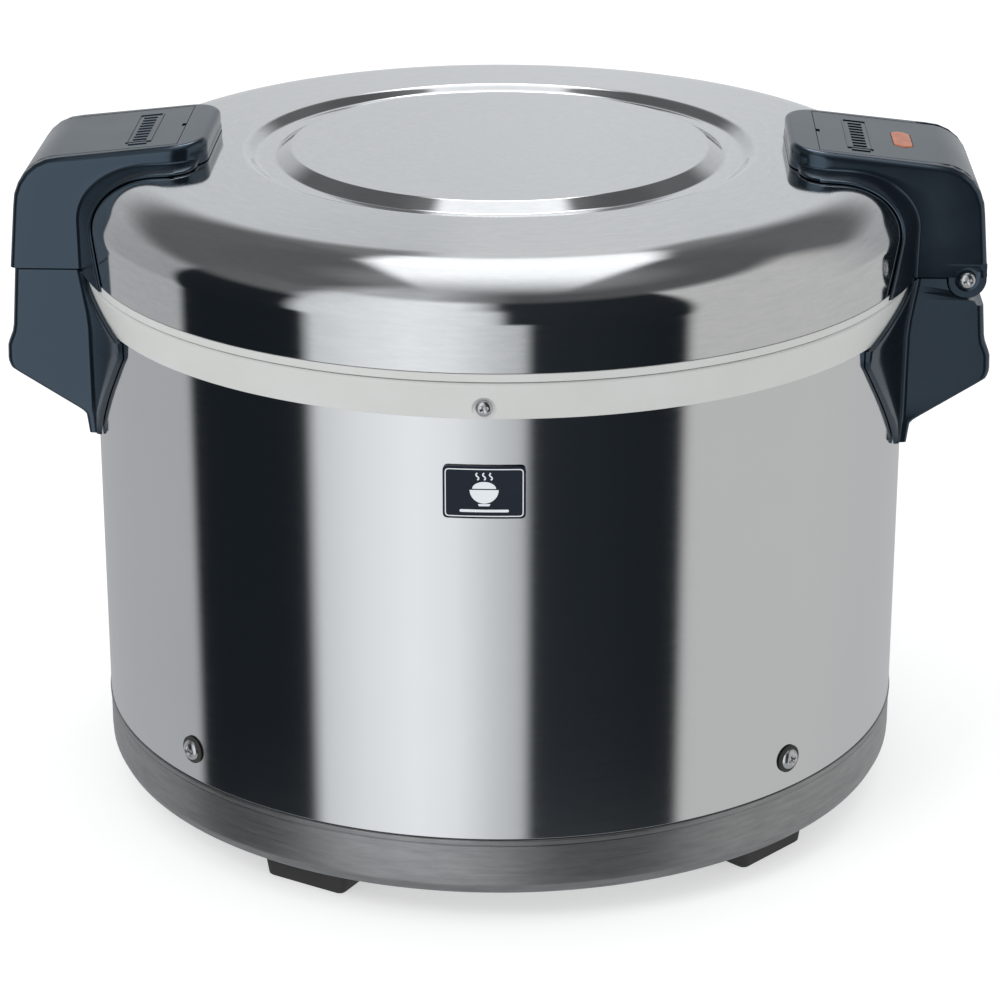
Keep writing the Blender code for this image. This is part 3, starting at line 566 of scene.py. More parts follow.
def make_badge():
    """A generic device on the badge: a bowl of rice with steam over a plain bar."""
    bm = bmesh.new()
    grid_plate(bm, 16.1, 10.8, 2.0, 0.0, 1.15)
    dress(finished(bm, "badge_fine"), MATS["badge"], "base", "badge", "badge_plate")
    bm = bmesh.new()
    low, high = 1.05, 1.2
    outer = frame_outline(15.2, 9.9, 1.6)
    inner = frame_outline(14.8, 9.5, 1.3)
    for i in range(len(outer)):
        j = (i + 1) % len(outer)
        pieces = 12 if (Vector(outer[j]) - Vector(outer[i])).length > 5.0 else 1
        for k in range(pieces):
            quad = [Vector(outer[i]).lerp(Vector(outer[j]), k / pieces),
                    Vector(outer[i]).lerp(Vector(outer[j]), (k + 1) / pieces),
                    Vector(inner[i]).lerp(Vector(inner[j]), (k + 1) / pieces),
                    Vector(inner[i]).lerp(Vector(inner[j]), k / pieces)]
            plate(bm, quad, low, high)
    plate(bm, arc((0.0, 1.2), 5.6, 180, 360, 18), low, high)
    plate(bm, [(-2.4, -4.6), (2.4, -4.6), (2.0, -5.5), (-2.0, -5.5)], low, high)
    plate(bm, [(x, 1.2 + (z - 1.2) * 0.62) for x, z in arc((0.0, 2.0), 4.6, 0, 180, 16)], low, high)
    for x in (-2.6, 0.0, 2.6):
        wave = [(x + 0.55 * sin(k * 0.9), 5.3 + 0.42 * k) for k in range(8)]
        plate(bm, ribbon(wave, 0.28), low, high)
    plate(bm, divided(rounded([(-9.5, -8.0, 0.5), (9.5, -8.0, 0.5), (9.5, -6.9, 0.5),
                               (-9.5, -6.9, 0.5)], 3)), low, high)
    dress(finished(bm, "badge_print"), MATS["print"], "base", "badge")


# ---- screws ----
SCREW_CACHE = {}


def screw_mesh(head_r, head_h, shank_r, length):
    """A cross-recessed pan-head screw along Z with its seat at the origin."""
    key = (head_r, head_h, shank_r, length)
    if key in SCREW_CACHE:
        return SCREW_CACHE[key].copy()
    profile = [(0.0, head_h), (head_r * 0.35, head_h * 0.985), (head_r * 0.62, head_h * 0.90),
               (head_r * 0.84, head_h * 0.68), (head_r * 0.97, head_h * 0.36), (head_r, head_h * 0.16),
               (head_r * 0.985, 0.0), (shank_r, 0.0), (shank_r, -length + shank_r),
               (shank_r * 0.4, -length), (0.0, -length)]
    screw = lathe("screw", profile, 40, 40.0)
    arm_long, arm_wide, depth = head_r * 0.62, head_r * 0.15, head_h * 0.62
    for turn in (0.0, 90.0):
        bm = bmesh.new()
        rings = []
        for level, long, wide in ((head_h - depth, 0.30 * arm_long, 0.75 * arm_wide),
                                  (head_h + 0.5, arm_long, arm_wide)):
            ring = [(-long, -wide), (long, -wide), (long, wide), (-long, wide)]
            rings.append([(x, y, level) for x, y in ring])
        skin(bm, rings)
        bmesh.ops.rotate(bm, matrix=Matrix.Rotation(radians(turn + 20.0), 3, "Z"), verts=bm.verts)
        carve(screw, finished(bm, "recess"))
    SCREW_CACHE[key] = screw.data
    bpy.data.objects.remove(screw)
    return SCREW_CACHE[key].copy()


def put_screw(node, body, seat, direction, *sizes):
    """A screw that stands for a CAD screw, seated at a point and pointing outward."""
    mesh = screw_mesh(*sizes)
    seat = Vector(seat)
    mesh.transform(along(seat * MM, (seat + Vector(direction)) * MM))
    item = bpy.data.objects.new(node + "_fine", mesh)
    bpy.context.scene.collection.objects.link(item)
    dress(item, MATS["zinc"], body, "zinc_steel", node)


def make_screws():
    """Every screw of the object."""
    for number, azimuth in enumerate((-135.0, -45.0, 45.0, 135.0), 1):
        outward = polar(1.0, azimuth, 0.0)
        seat = polar(DRUM_R + GAP, azimuth, 53.0)
        put_screw("shell_screw_%d" % number, "base", seat + outward * 0.3, outward, 4.5, 2.3, 2.0, 8.0)
        make_washer("shell_washer_%d" % number, seat, outward)
    for name, azimuth in (("front", -90.0), ("rear", 90.0)):
        outward = polar(1.0, azimuth, 0.0)
        put_screw("collar_screw_" + name, "base", polar(176.4, azimuth, COLLAR_SCREW_Z), outward,
                  3.3, 1.5, 1.5, 6.5)
    for name, way in (("front", -1), ("rear", 1)):
        put_screw("hinge_screw_" + name, "base", (HINGE[0], way * 44.75, HINGE[1]), (0, way, 0),
                  3.5, 1.8, 1.3, 8.5)
    for number, azimuth in enumerate(FOOT_AZIMUTHS, 1):
        put_screw("foot_screw_%d" % number, "base", polar(FOOT_R, azimuth, 4.0), (0, 0, -1),
                  3.6, 2.2, 1.75, 15.0)
    half, level = BRACKET_SCREW
    inner_x = (DRUM_R ** 2 - half ** 2) ** 0.5 - 2.0
    for side, word in ((-1, "left"), (1, "right")):
        for number, way in enumerate((-1, 1), 1):
            put_screw("%s_bracket_screw_%d" % (word, number), "base",
                      (side * inner_x, way * half, level), (-side, 0, 0), 3.6, 2.2, 1.75, 6.0)
            put_screw("%s_arm_screw_%d" % (word, number), "lid",
                      (side * ARM_SCREW[0], way * ARM_SCREW[1], ARM_SCREW[2]), (0, 0, -1),
                      3.4, 2.0, 1.6, 8.4)


def make_washer(name, seat, outward):
    """A black cup washer under a shell screw."""
    profile = rounded([(2.6, 0.0), (6.0, -0.15, 0.3), (5.9, 0.55, 0.4), (4.8, 1.0, 0.4),
                       (2.6, 0.5, 0.2)], 3)
    washer = lathe(name, profile, 40)
    washer.data.transform(along(seat * MM, (seat + outward) * MM))
    dress(washer, MATS["rubber"], "base", "rubber")


# ---- brackets ----
def between(table, value):
    """Linear interpolation in a table of (key, value, ...) rows sorted by key."""
    if value <= table[0][0]:
        return table[0][1:]
    for low, high in zip(table, table[1:]):
        if value <= high[0]:
            t = (value - low[0]) / (high[0] - low[0])
            return tuple(a + (b - a) * t for a, b in zip(low[1:], high[1:]))
    return table[-1][1:]


BRACKET_FACE = [(z, x) for x, z in rounded([
    (174.3, 164.8), (175.5, 173.4, 2.0), (206.9, 193.0, 3.0), (208.2, 196.5, 3.0),
    (208.0, 203.5, 3.0), (205.4, 210.0, 6.0), (203.6, 236.8)], 5, closed=False)]
FLANGE = [(164.8, 15.2, 177.4), (176.0, 18.5, 178.0), (200.0, 26.0, 178.0), (212.0, 29.5, 178.0),
          (218.8, 29.5, 178.6), (236.8, 13.5, 181.4)]
DRUM_SIDE = [(219.2, 175.35), (219.6, 176.15), (234.6, 178.8), (237.0, 178.8)]


def bracket_section(z):
    """One level section of a bracket: its outer line from y=0 round to the drum, then along it."""
    face, = between(BRACKET_FACE, z)
    reach, skirt_r = between(FLANGE, z)
    drum_r, = between(DRUM_SIDE, z)
    width = ARM_HALF + 0.035 * (235.1 - z)
    foot = (skirt_r ** 2 - width ** 2) ** 0.5
    room = max(0.02, min(1.0, (face - foot) / 6.0))
    edge, fillet = 3.0 * room, 1.8 * room
    line = []
    for y in [(width - edge) * k / 8 for k in range(9)]:
        line.append((max(face, (skirt_r ** 2 - y * y) ** 0.5), y))
    corner = line[-1][0]
    for a in (22.5, 45.0, 67.5, 90.0):
        line.append((corner - edge * (1 - cos(radians(a))), width - edge * (1 - sin(radians(a)))))
    wide = width + fillet
    low = (skirt_r ** 2 - wide ** 2) ** 0.5
    start = max(low + fillet + 0.02, min(corner - edge - 0.01, foot + fillet))
    for a in (0.0, 30.0, 60.0, 90.0):
        line.append((low + (start - low) * (1 - sin(radians(a))),
                     width + fillet * (1 - cos(radians(a)))))
    start_azimuth = degrees(atan2(wide, low))
    reach = max(reach, start_azimuth + 0.3)
    for k in range(1, 9):
        azimuth = start_azimuth + (reach - start_azimuth) * k / 8
        radius = skirt_r - (0.0 if k < 8 else 0.5)
        line.append((radius * cos(radians(azimuth)), radius * sin(radians(azimuth))))
    for radius, more in ((skirt_r - 1.2, 0.2), (drum_r, 0.2)):
        azimuth = reach + more
        line.append((radius * cos(radians(azimuth)), radius * sin(radians(azimuth))))
    for k in range(1, 13):
        azimuth = (reach + 0.2) * (1 - k / 12)
        line.append((drum_r * cos(radians(azimuth)), drum_r * sin(radians(azimuth))))
    return line


def bracket_body(name, side):
    """A lower bracket as a stack of level sections, with its finger pocket."""
    levels = [164.8, 165.3, 167.0, 170.0, 173.0, 174.4, 176.0]
    levels += [176.0 + 17.0 * k / 10 for k in range(1, 11)] + [194.0, 195.0, 196.0, 197.5, 199.0]
    levels += [201.0, 203.0, 205.0, 207.0, 209.0, 212.0, 215.5, 218.8, 219.2, 219.6, 222.0, 225.0,
               228.0, 231.0, 234.0, 236.3, BRACKET_TOP]
    rings = []
    for z in levels:
        half = bracket_section(z)
        other = [(x, -y) for x, y in reversed(half[1:-1])]
        rings.append([(side * x, y, z) for x, y in half + other])
    bm = bmesh.new()
    skin(bm, rings)
    item = finished(bm, name)
    pocket = rounded([(181.5, 150.0), (204.2, 150.0), (204.2, 196.0, 4.0), (201.0, 207.0, 4.0),
                      (200.2, 213.0, 4.0), (181.5, 213.0, 4.0)], 4)
    carve(item, slab("pocket", [(side * x, z) for x, z in pocket], 38.0, 3.0))
    return item


def make_brackets():
    """Both lower brackets, the strike and the hinge barrel."""
    left = bracket_body("left_bracket_fine", -1)
    carve(left, block("slot", (-199, -12, 218), (-184, 12, 242), 0.8))
    dress(left, MATS["black"], "base", "black_plastic", "left_bracket")
    right = bracket_body("right_bracket_fine", 1)
    seat = arc(HINGE, LOBE_R + 1.2, 186.0, 271.0, 20)
    outline = [(188.0, 245.0)] + seat + [(200.0, 227.5), (201.4, 225.5), (204.0, 225.2),
                                         (212.0, 225.0), (212.0, 245.0)]
    carve(right, slab("seat", outline, 60.0))
    web = [(189.6, 220.0), (199.0, 220.0), (199.0, HINGE[1]), (191.2, HINGE[1] + 3.0), (189.6, 232.0)]
    carve(right, slab("web", web, CHEEK_Y - 0.02), "UNION")
    carve(right, bar("barrel", (HINGE[0], -CHEEK_Y, HINGE[1]), (HINGE[0], CHEEK_Y, HINGE[1]),
                     BARREL_R, 48, 0.5), "UNION")
    carve(right, bar("bore", (HINGE[0], -60, HINGE[1]), (HINGE[0], 60, HINGE[1]), BORE_R))
    dress(right, MATS["black"], "base", "black_plastic", "right_bracket")
    strike = rounded([(184.3, 220.0), (186.3, 220.0), (186.3, 231.8, 0.4), (189.0, 231.8, 0.5),
                      (189.0, 234.2, 0.8), (186.3, 236.0, 0.5), (184.3, 236.0, 0.5)], 3)
    dress(slab("latch_strike_fine", [(-x, z) for x, z in strike], 10.0, 0.3), MATS["zinc"], "base",
          "zinc_steel", "latch_strike")
    pin = bar("hinge_pin_fine", (HINGE[0], -40, HINGE[1]), (HINGE[0], 40, HINGE[1]), 2.5, 40, 0.4)
    dress(pin, MATS["zinc"], "base", "zinc_steel", "hinge_pin")


# ---- lid ----
def shoulder(steps, inset=0.0):
    """Points up the lid's shoulder from wall to top: radius, z and the angle of the surface there."""
    wide, high = SHOULDER_AXES
    rows = []
    for k in range(steps + 1):
        t = radians(SHOULDER_END * k / steps)
        rows.append((SHOULDER[0] + (wide - inset) * cos(t), SHOULDER[1] + (high - inset) * sin(t),
                     degrees(atan2(wide * sin(t), high * cos(t)))))
    return rows


def make_lid():
    """Steel lid, its white frame, inner lid, gasket and grommet."""
    outer = [(LID_R, 239.1), (LID_R, 248.0)] + [(r, z) for r, z, _ in shoulder(34)]
    outer += rounded([(145.0, lid_top(145.0)), (*GROOVE_LIP, 6.0), (104.1, 277.9, 5.0),
                      (95.8, 277.9, 3.0), (89.2, 281.85, 2.0), (60.0, 282.35),
                      (30.0, 282.7), (0.0, 282.8)], 8, closed=False)
    inner = [(0.0, 281.8), (60.0, 281.35)]
    inner += rounded([(88.9, 280.85, 2.0), (95.4, 276.9, 3.0), (104.5, 276.9, 5.0),
                      (108.9, 280.12, 6.0),
                      (145.0, lid_top(145.0) - 1.0)], 6, closed=False)
    inner += [(r, z) for r, z, _ in reversed(shoulder(24, 1.0))] + [(LID_R - 1.0, 239.1)]
    lid = lathe("outer_lid_fine", outer + inner)
    dress(lid, MATS["lid"], "lid", "polished_steel", "outer_lid")
    ring = lathe("lid_frame_fine", rounded([
        (RIM_R, 235.5, 0.5), (RIM_R, 238.8, 0.5), (176.8, 238.8), (176.8, 244.0), (175.2, 244.0),
        (175.2, 237.6), (151.0, 237.6), (151.0, 241.0), (149.2, 241.0), (149.2, 235.5, 0.5)]))
    dress(ring, MATS["white"], "lid", "white_plastic", "lid_frame")
    inner_lid = lathe("inner_lid_fine", rounded([
        (5.0, 239.4), (30.0, 239.4, 2.0), (32.0, 238.9, 2.0), (40.0, 238.9, 2.0), (42.0, 239.4, 2.0),
        (84.0, 239.4, 2.0), (86.0, 238.9, 2.0), (92.0, 238.9, 2.0), (94.0, 239.4, 2.0),
        (118.0, 239.4, 6.0), (134.0, 236.6, 6.0), (148.8, 236.6), (148.8, 237.6), (134.2, 237.6, 6.0),
        (118.2, 240.4, 6.0), (5.0, 240.4)]))
    dress(inner_lid, MATS["aluminium"], "lid", "aluminium", "inner_lid")
    gasket = lathe("lid_gasket_fine", rounded([
        (139.4, 236.2), (140.2, 234.8, 0.8), (141.6, 233.9, 0.8), (143.0, 234.6, 0.6),
        (144.4, 233.9, 0.6), (145.8, 234.6, 0.8), (147.6, 236.2)], 4))
    dress(gasket, MATS["silicone"], "lid", "silicone", "lid_gasket")
    bush = lathe("inner_lid_bush_fine", [(0.0, 236.8)] + rounded([
        (6.8, 236.8, 0.8), (8.0, 238.0, 0.6), (7.8, 239.1, 0.4), (4.6, 239.1), (4.6, 240.8),
        (6.6, 240.8, 0.4), (6.4, 242.2, 0.6)], 4, closed=False) + [(0.0, 243.0)], 64)
    dress(bush, MATS["silicone"], "lid", "silicone", "inner_lid_bush")


def make_inside():
    """Well and pan."""
    well = lathe("liner_well_fine", [(0.0, 58.0)] + rounded([
        (136.0, 58.0, 6.0), (143.4, 63.0, 5.0), (144.4, 70.0, 4.0), (144.4, 228.1), (151.0, 228.1),
        (151.0, 229.3), (143.4, 229.3, 1.0), (143.4, 70.3, 4.0), (142.4, 63.8, 4.0),
        (135.6, 59.0, 5.0)], 6, closed=False) + [(0.0, 59.0)])
    dress(well, MATS["aluminium"], "base", "aluminium", "liner_well")
    pan = lathe("inner_pan_fine", [(0.0, 66.0)] + rounded([
        (118.0, 66.0, 10.0), (134.0, 71.4, 12.0), (138.0, 88.0, 8.0), (138.0, 232.3),
        (147.6, 232.3, 0.5), (148.2, 232.9, 0.4), (147.6, 233.5, 0.5), (137.4, 233.5, 1.2),
        (136.8, 232.0), (136.8, 88.3, 8.0), (132.9, 72.4, 12.0), (117.8, 67.2, 10.0)], 8,
        closed=False) + [(0.0, 67.2)])
    dress(pan, MATS["pan"], "base", "polished_steel", "inner_pan")


# ---- upper arms ----
def arm_line(inset, start, end_z, steps=20):
    """The arm's outer line, moved in by inset: from start on its top, round its corner, down."""
    corner_x = ARM_OUT
    for _ in range(8):
        corner_z = ARM_TOP_Z - ARM_SLOPE * (corner_x - ARM_IN)
        corner_x = ARM_OUT - ARM_LEAN * (corner_z - SEAM_Z)
    top_angle = 90.0 - degrees(ARM_SLOPE)
    face_angle = degrees(ARM_LEAN)
    reach = ARM_CORNER_R * tan(radians(top_angle - face_angle) / 2)
    lean = radians(90.0 - top_angle)
    centre = (corner_x - reach * cos(lean) - ARM_CORNER_R * cos(radians(top_angle)),
              corner_z + reach * sin(lean) - ARM_CORNER_R * sin(radians(top_angle)))
    turn = arc(centre, ARM_CORNER_R - inset, top_angle, face_angle, steps)
    first = (start, turn[0][1] + ARM_SLOPE * (turn[0][0] - start))
    last = turn[-1]
    return [first] + turn + [(last[0] + ARM_LEAN * (last[1] - end_z), end_z)]


ARM_LINE = arm_line(0.0, 90.0, SEAM_Z - 1.0, 40)


def top_z(x):
    """Height of the arm's flat top."""
    return ARM_LINE[0][1] - ARM_SLOPE * (x - ARM_LINE[0][0])


def arm_width(z):
    """Half width of an arm at a height."""
    return ARM_HALF - ARM_DRAFT * (z - SEAM_Z)


def lid_top(radius):
    """Height of the lid's top at a radius between its groove and its shoulder."""
    return GROOVE_LIP[1] - (radius - GROOVE_LIP[0]) * LID_FALL


def thickness(x, z, angle):
    """Distance from a point to the arm's outer line along a direction."""
    dx, dz = cos(radians(angle)), sin(radians(angle))
    found = []
    for (ax, az), (bx, bz) in zip(ARM_LINE, ARM_LINE[1:]):
        ex, ez = bx - ax, bz - az
        cross = dx * ez - dz * ex
        if abs(cross) < 1e-9:
            continue
        along_ray = ((ax - x) * ez - (az - z) * ex) / cross
        along_line = ((ax - x) * dz - (az - z) * dx) / cross
        if along_ray > 0.0 and -1e-6 <= along_line <= 1.0 + 1e-6:
            found.append(along_ray)
    return min(found)


def arm_stations():
    """Points on the lid's side from the arm's foot to its inboard corner: radius, z, angle."""
    wall = [(LID_R, SEAM_Z + (SHOULDER[1] - SEAM_Z) * k / 8, 0.0) for k in range(8)]
    round_part = shoulder(18)
    first, _, tilt = round_part[-1]
    last = hypot(ARM_IN + PLAN_R, ARM_HALF - 6.0)
    flat = []
    for k in range(1, 4):
        r = first + (last - first) * k / 3
        flat.append((r, lid_top(r), tilt + (90.0 - tilt) * k / 3))
    return wall + round_part + flat


def arm_rows(height, spread):
    """Cross-section of one side of an arm: (offset from its side, height above the lid)."""
    narrow = min(1.0, spread / 4.0)
    fillet = min(1.2, height * 0.1) * narrow
    edge = min(EDGE_R, height * 0.36)
    rows = [(spread, HUG), (spread, 0.9), (spread - 0.25 * narrow, 1.25), (spread - 0.8 * narrow, 1.45)]
    rows += [(spread + (fillet - spread) * t, 1.45 + (SKIRT_T - 1.45) * t) for t in (0.33, 0.66, 1.0)]
    rows += [(fillet * (1 - sin(radians(a))), SKIRT_T + fillet * (1 - cos(radians(a))))
             for a in (30.0, 60.0, 90.0)]
    start = SKIRT_T + fillet
    rows += [(0.0, start + (height - edge - start) * t) for t in (0.33, 0.66, 1.0)]
    rows += [(-edge * (1 - cos(radians(a))), height - edge * (1 - sin(radians(a))))
             for a in (18.0, 36.0, 54.0, 72.0, 90.0)]
    return rows


def arm_side():
    """Columns of points of one side of an arm, from its foot round to the middle of its inboard end.

    Each column runs from the skirt's edge on the lid up to the edge of the top.
    """
    columns = []
    for radius, z, angle in arm_stations():
        normal = (cos(radians(angle)), sin(radians(angle)))
        drop = max(0.0, min(1.0, (SKIRT_TOP_Z - z) / (SKIRT_TOP_Z - SEAM_Z)))
        skirt_half = SKIRT_HALF[0] + (SKIRT_HALF[1] - SKIRT_HALF[0]) * drop
        half = arm_width(z)
        base_x = (radius ** 2 - half ** 2) ** 0.5
        height = thickness(base_x, z, angle)
        column = []
        for offset, level in arm_rows(height, skirt_half - half):
            if level <= SKIRT_T + 1.3 and offset > 0.0:
                y = half + offset
                out = radius + level * normal[0]
                column.append(((out ** 2 - y ** 2) ** 0.5, y, z + level * normal[1]))
            else:
                here = z + level * normal[1]
                column.append((base_x + level * normal[0], arm_width(here) + offset, here))
        columns.append(column)
    corner_steps, end_steps = 11, 3
    for step in range(1, corner_steps + end_steps + 1):
        beta = min(90.0, 90.0 * step / corner_steps)
        inward = max(0, step - corner_steps) / end_steps
        spread = SKIRT_EDGE + SKIRT_END * max(0.0, cos(radians(1.8 * beta)))
        centre_x = ARM_IN + PLAN_R
        height = top_z(ARM_IN + 3.0) - lid_top(ARM_IN + 10.0)
        column = []
        for offset, level in arm_rows(height, spread):
            reach = PLAN_R + offset
            x = centre_x - reach * sin(radians(beta))
            half = ARM_HALF - ARM_DRAFT * (lid_top(140.0) + level - SEAM_Z)
            y = (half - PLAN_R) * (1 - inward) + reach * cos(radians(beta))
            low = lid_top(hypot(x, y))
            z = low + level if offset > 0.0 else low + level * (top_z(x) - low) / height
            column.append((x, y, z))
        columns.append(column)
    return columns


def arm_body(name, side):
    """An upper arm that hugs the lid, closed, before it is hollowed."""
    columns = arm_side()
    bm = bmesh.new()
    flanks = []
    for way in (-1, 1):
        flanks.append([[bm.verts.new((side * x, way * y, z)) for x, y, z in column]
                       for column in columns])
    for flank in flanks:
        for near, far in zip(flank, flank[1:]):
            for j in range(len(near) - 1):
                bm.faces.new((near[j], near[j + 1], far[j + 1], far[j]))
    for i in range(len(columns) - 1):
        bm.faces.new((flanks[0][i][-1], flanks[1][i][-1], flanks[1][i + 1][-1], flanks[0][i + 1][-1]))
    across = 16
    floor = []
    legs = len(arm_stations())
    for i, column in enumerate(columns):
        x, y, z = column[0]
        row = [flanks[0][i][0]]
        for k in range(1, across):
            part = -y + 2 * y * k / across
            if i < legs:
                here = (hypot(x, y) ** 2 - part ** 2) ** 0.5
                row.append(bm.verts.new((side * here, part, z)))
            else:
                low = lid_top(hypot(x, part)) + HUG
                row.append(bm.verts.new((side * x, part, low)))
        row.append(flanks[1][i][0])
        floor.append(row)
    for near, far in zip(floor, floor[1:]):
        for k in range(across):
            bm.faces.new((near[k], near[k + 1], far[k + 1], far[k]))
    foot = flanks[0][0] + list(reversed(flanks[1][0])) + list(reversed(floor[0][1:-1]))
    bm.faces.new(foot)
    return finished(bm, name)


def cover_outline(inset, depth, start, end_z):
    """Outline of a strip that follows the arm's top and corner."""
    outside = arm_line(inset, start, end_z)[:-1]
    inside = arm_line(inset + depth, start, end_z)[:-1]
    return outside + list(reversed(inside))


def hollow(arm, side, half):
    """Cut an arm's cavity, of some half width, and the seat of its cover strip."""
    lean = tan(radians(LATCH_SWING))
    roof = arm_line(COVER_T - 0.6, COVER_IN - lean * 2.0, 225.0)
    wall = arm_line(3.6, COVER_IN, 225.0)[-2:]
    floor = [(181.2, 225.0), (181.2, 258.0), (178.6, 269.6), (171.0, 277.6), (160.0, 281.2),
             (COVER_IN - lean * 8.0, 283.0)]
    cavity = roof[:-2] + wall + floor
    carve(arm, slab("cavity", [(side * x, z) for x, z in cavity], half))
    top = arm_line(-3.0, COVER_IN - GAP + 3.0 * lean, 225.0)[:-1]
    under = arm_line(COVER_T + GAP, COVER_IN - GAP - lean * (COVER_T + GAP), 225.0)[:-1]
    seat = top + [(top[-1][0], top[-1][1] - GAP), (under[-1][0], under[-1][1] - GAP)]
    seat += list(reversed(under))
    carve(arm, slab("seat", [(side * x, z) for x, z in seat], COVER_HALF + GAP))


def relief(name, side, body):
    """Raised frame with plain ribs on a cover strip."""
    bm = bmesh.new()

    def raised(x0, x1, y0, y1, height=0.4):
        rings = []
        for level, inset in ((-0.3, 0.0), (height - 0.1, 0.0), (height, 0.1)):
            rings.append([(side * x, y, top_z(x) + level) for x, y in (
                (x0 + inset, y0 + inset), (x1 - inset, y0 + inset), (x1 - inset, y1 - inset),
                (x0 + inset, y1 - inset))])
        skin(bm, rings)

    low_x, high_x, half = 146.5, 157.5, 23.0
    raised(low_x, low_x + 0.8, -half, half)
    raised(high_x - 0.8, high_x, -half, half)
    raised(low_x + 0.8, high_x - 0.8, -half, -half + 0.8)
    raised(low_x + 0.8, high_x - 0.8, half - 0.8, half)
    for k in range(9):
        y = -18.0 + 4.5 * k
        raised(low_x + 2.6, high_x - 2.6, y - 0.7, y + 0.7)
    raised(low_x + 1.6, high_x - 1.6, -half - 3.2, -half - 1.4)
    dress(finished(bm, name), MATS["black"], body, "black_plastic")


def strip(name, side):
    """A cover strip with softened edges and a small notch in its inboard end."""
    outline = [(side * x, z) for x, z in cover_outline(0.0, COVER_T, COVER_IN, 260.0)]
    item = slab(name, outline, COVER_HALF, 0.5)
    low = top_z(COVER_IN)
    start, end = sorted((side * (COVER_IN - 1.0), side * (COVER_IN + 1.6)))
    carve(item, block("notch", (start, -2.2, low - 1.3), (end, 2.2, low + 2.0), 0.4))
    return item


def make_left_arm():
    """Latch-side arm, its lever, pin and spring."""
    arm = arm_body("left_arm_fine", -1)
    hollow(arm, -1, COVER_HALF + GAP)
    x, z = -LATCH_PIVOT[0], LATCH_PIVOT[1]
    dress(arm, MATS["black"], "lid", "black_plastic", "left_arm")
    pin = bar("latch_pin_fine", (x, -38, z), (x, 38, z), 1.5, 24, 0.3)
    dress(pin, MATS["zinc"], "lid", "zinc_steel", "latch_pin")
    lever = strip("latch_lever_fine", -1)
    hook = rounded([(191.6, 281.0), (191.6, 229.6, 0.6), (189.3, 228.8, 0.5), (189.3, 227.0, 0.5),
                    (191.0, 225.8, 0.8), (194.2, 225.8, 1.0), (194.2, 280.2)], 3)
    carve(lever, slab("hook", [(-a, b) for a, b in hook], 9.0, 0.4), "UNION")
    rib = [(-185.2, 282.9), (-185.2, 271.0), (-190.8, 271.0), (-190.8, 282.1)]
    carve(lever, slab("rib", rib, 8.6), "UNION")
    carve(lever, bar("boss", (x, -13.8, z), (x, 13.8, z), 4.4, 32, 0.4), "UNION")
    carve(lever, slab("tie", [(-188.5, 273.0), (-193.0, 268.0), (-193.0, 276.0)], 8.0), "UNION")
    carve(lever, bar("pivot", (x, -20, z), (x, 20, z), 1.8, 24))
    dress(lever, MATS["black"], "latch", "black_plastic", "latch_lever")
    relief("lever_relief", -1, "latch")
    turns, steps = 5, 24
    coil = [(x + 2.9 * cos(2 * pi * k / steps), 15.2 + 10.0 * k / (turns * steps),
             z + 2.9 * sin(2 * pi * k / steps)) for k in range(turns * steps + 1)]
    spring = tube("latch_spring_fine", coil, 0.65)
    dress(spring, MATS["zinc"], "lid", "zinc_steel", "latch_spring")


def make_right_arm():
    """Hinge-side arm with its lobes, cover strip and lamp."""
    arm = arm_body("right_arm_fine", 1)
    lobe = arc(HINGE, LOBE_OUT_R, -4.0, -172.0, 30) + [(188.9, 243.0), (ARM_OUT - 0.42, 243.0)]
    for way in (-1, 1):
        bm = bmesh.new()
        rings = []
        for y0, grow in ((CHEEK_Y + 0.5, 0.0), (43.3, 0.0), (43.8, 0.15), (44.02, 0.6)):
            ring = []
            for x, z in lobe:
                low = z < SEAM_Z + 0.5
                shrink = 1.0 - grow / LOBE_OUT_R if low else 1.0
                ring.append((HINGE[0] + (x - HINGE[0]) * shrink, way * min(y0, arm_width(z) + 0.02),
                             HINGE[1] + (z - HINGE[1]) * shrink))
            rings.append(ring)
        skin(bm, rings)
        carve(arm, finished(bm, "lobe"), "UNION")
    hollow(arm, 1, CAVITY_HALF)
    half = CHEEK_Y + 0.5
    carve(arm, block("notch", (188.6, -half, 224.0), (207.0, half, HINGE[1] + 3.6)))
    carve(arm, bar("round_notch", (HINGE[0], -half, HINGE[1]), (HINGE[0], half, HINGE[1]), LOBE_R - 0.1))
    carve(arm, bar("bore", (HINGE[0], -60, HINGE[1]), (HINGE[0], 60, HINGE[1]), BORE_R, 32))
    for way in (-1, 1):
        carve(arm, bar("recess", (HINGE[0], way * 43.3, HINGE[1]),
                       (HINGE[0], way * 50.0, HINGE[1]), 5.2))
    dress(arm, MATS["black"], "lid", "black_plastic", "right_arm")
    cover = strip("right_cover_fine", 1)
    lens_x, half_x, half_y, cut_ = 171.0, 4.0, 12.0, 2.5
    plan = [(-half_x, -half_y + cut_), (-half_x + cut_, -half_y), (half_x - cut_, -half_y),
            (half_x, -half_y + cut_), (half_x, half_y - cut_), (half_x - cut_, half_y),
            (-half_x + cut_, half_y), (-half_x, half_y - cut_)]
    bm = bmesh.new()
    skin(bm, [[(lens_x + x * 1.075, y * 1.03, z) for x, y in plan] for z in (278.0, 292.0)])
    carve(cover, finished(bm, "window"))
    dress(cover, MATS["black"], "lid", "black_plastic", "right_arm_cover")
    relief("cover_relief", 1, "lid")
    bm = bmesh.new()
    level = top_z(lens_x)
    shapes = ((-2.7, 0.0), (0.05, 0.0), (0.3, 0.25), (0.42, 0.8))
    skin(bm, [[(lens_x + x * (1 - inset / half_x), y * (1 - inset / half_y),
                level + up - ARM_SLOPE * x) for x, y in plan] for up, inset in shapes])
    dress(finished(bm, "lamp_lens_fine"), MATS["amber"], "lid", "amber_lens", "lamp_lens")


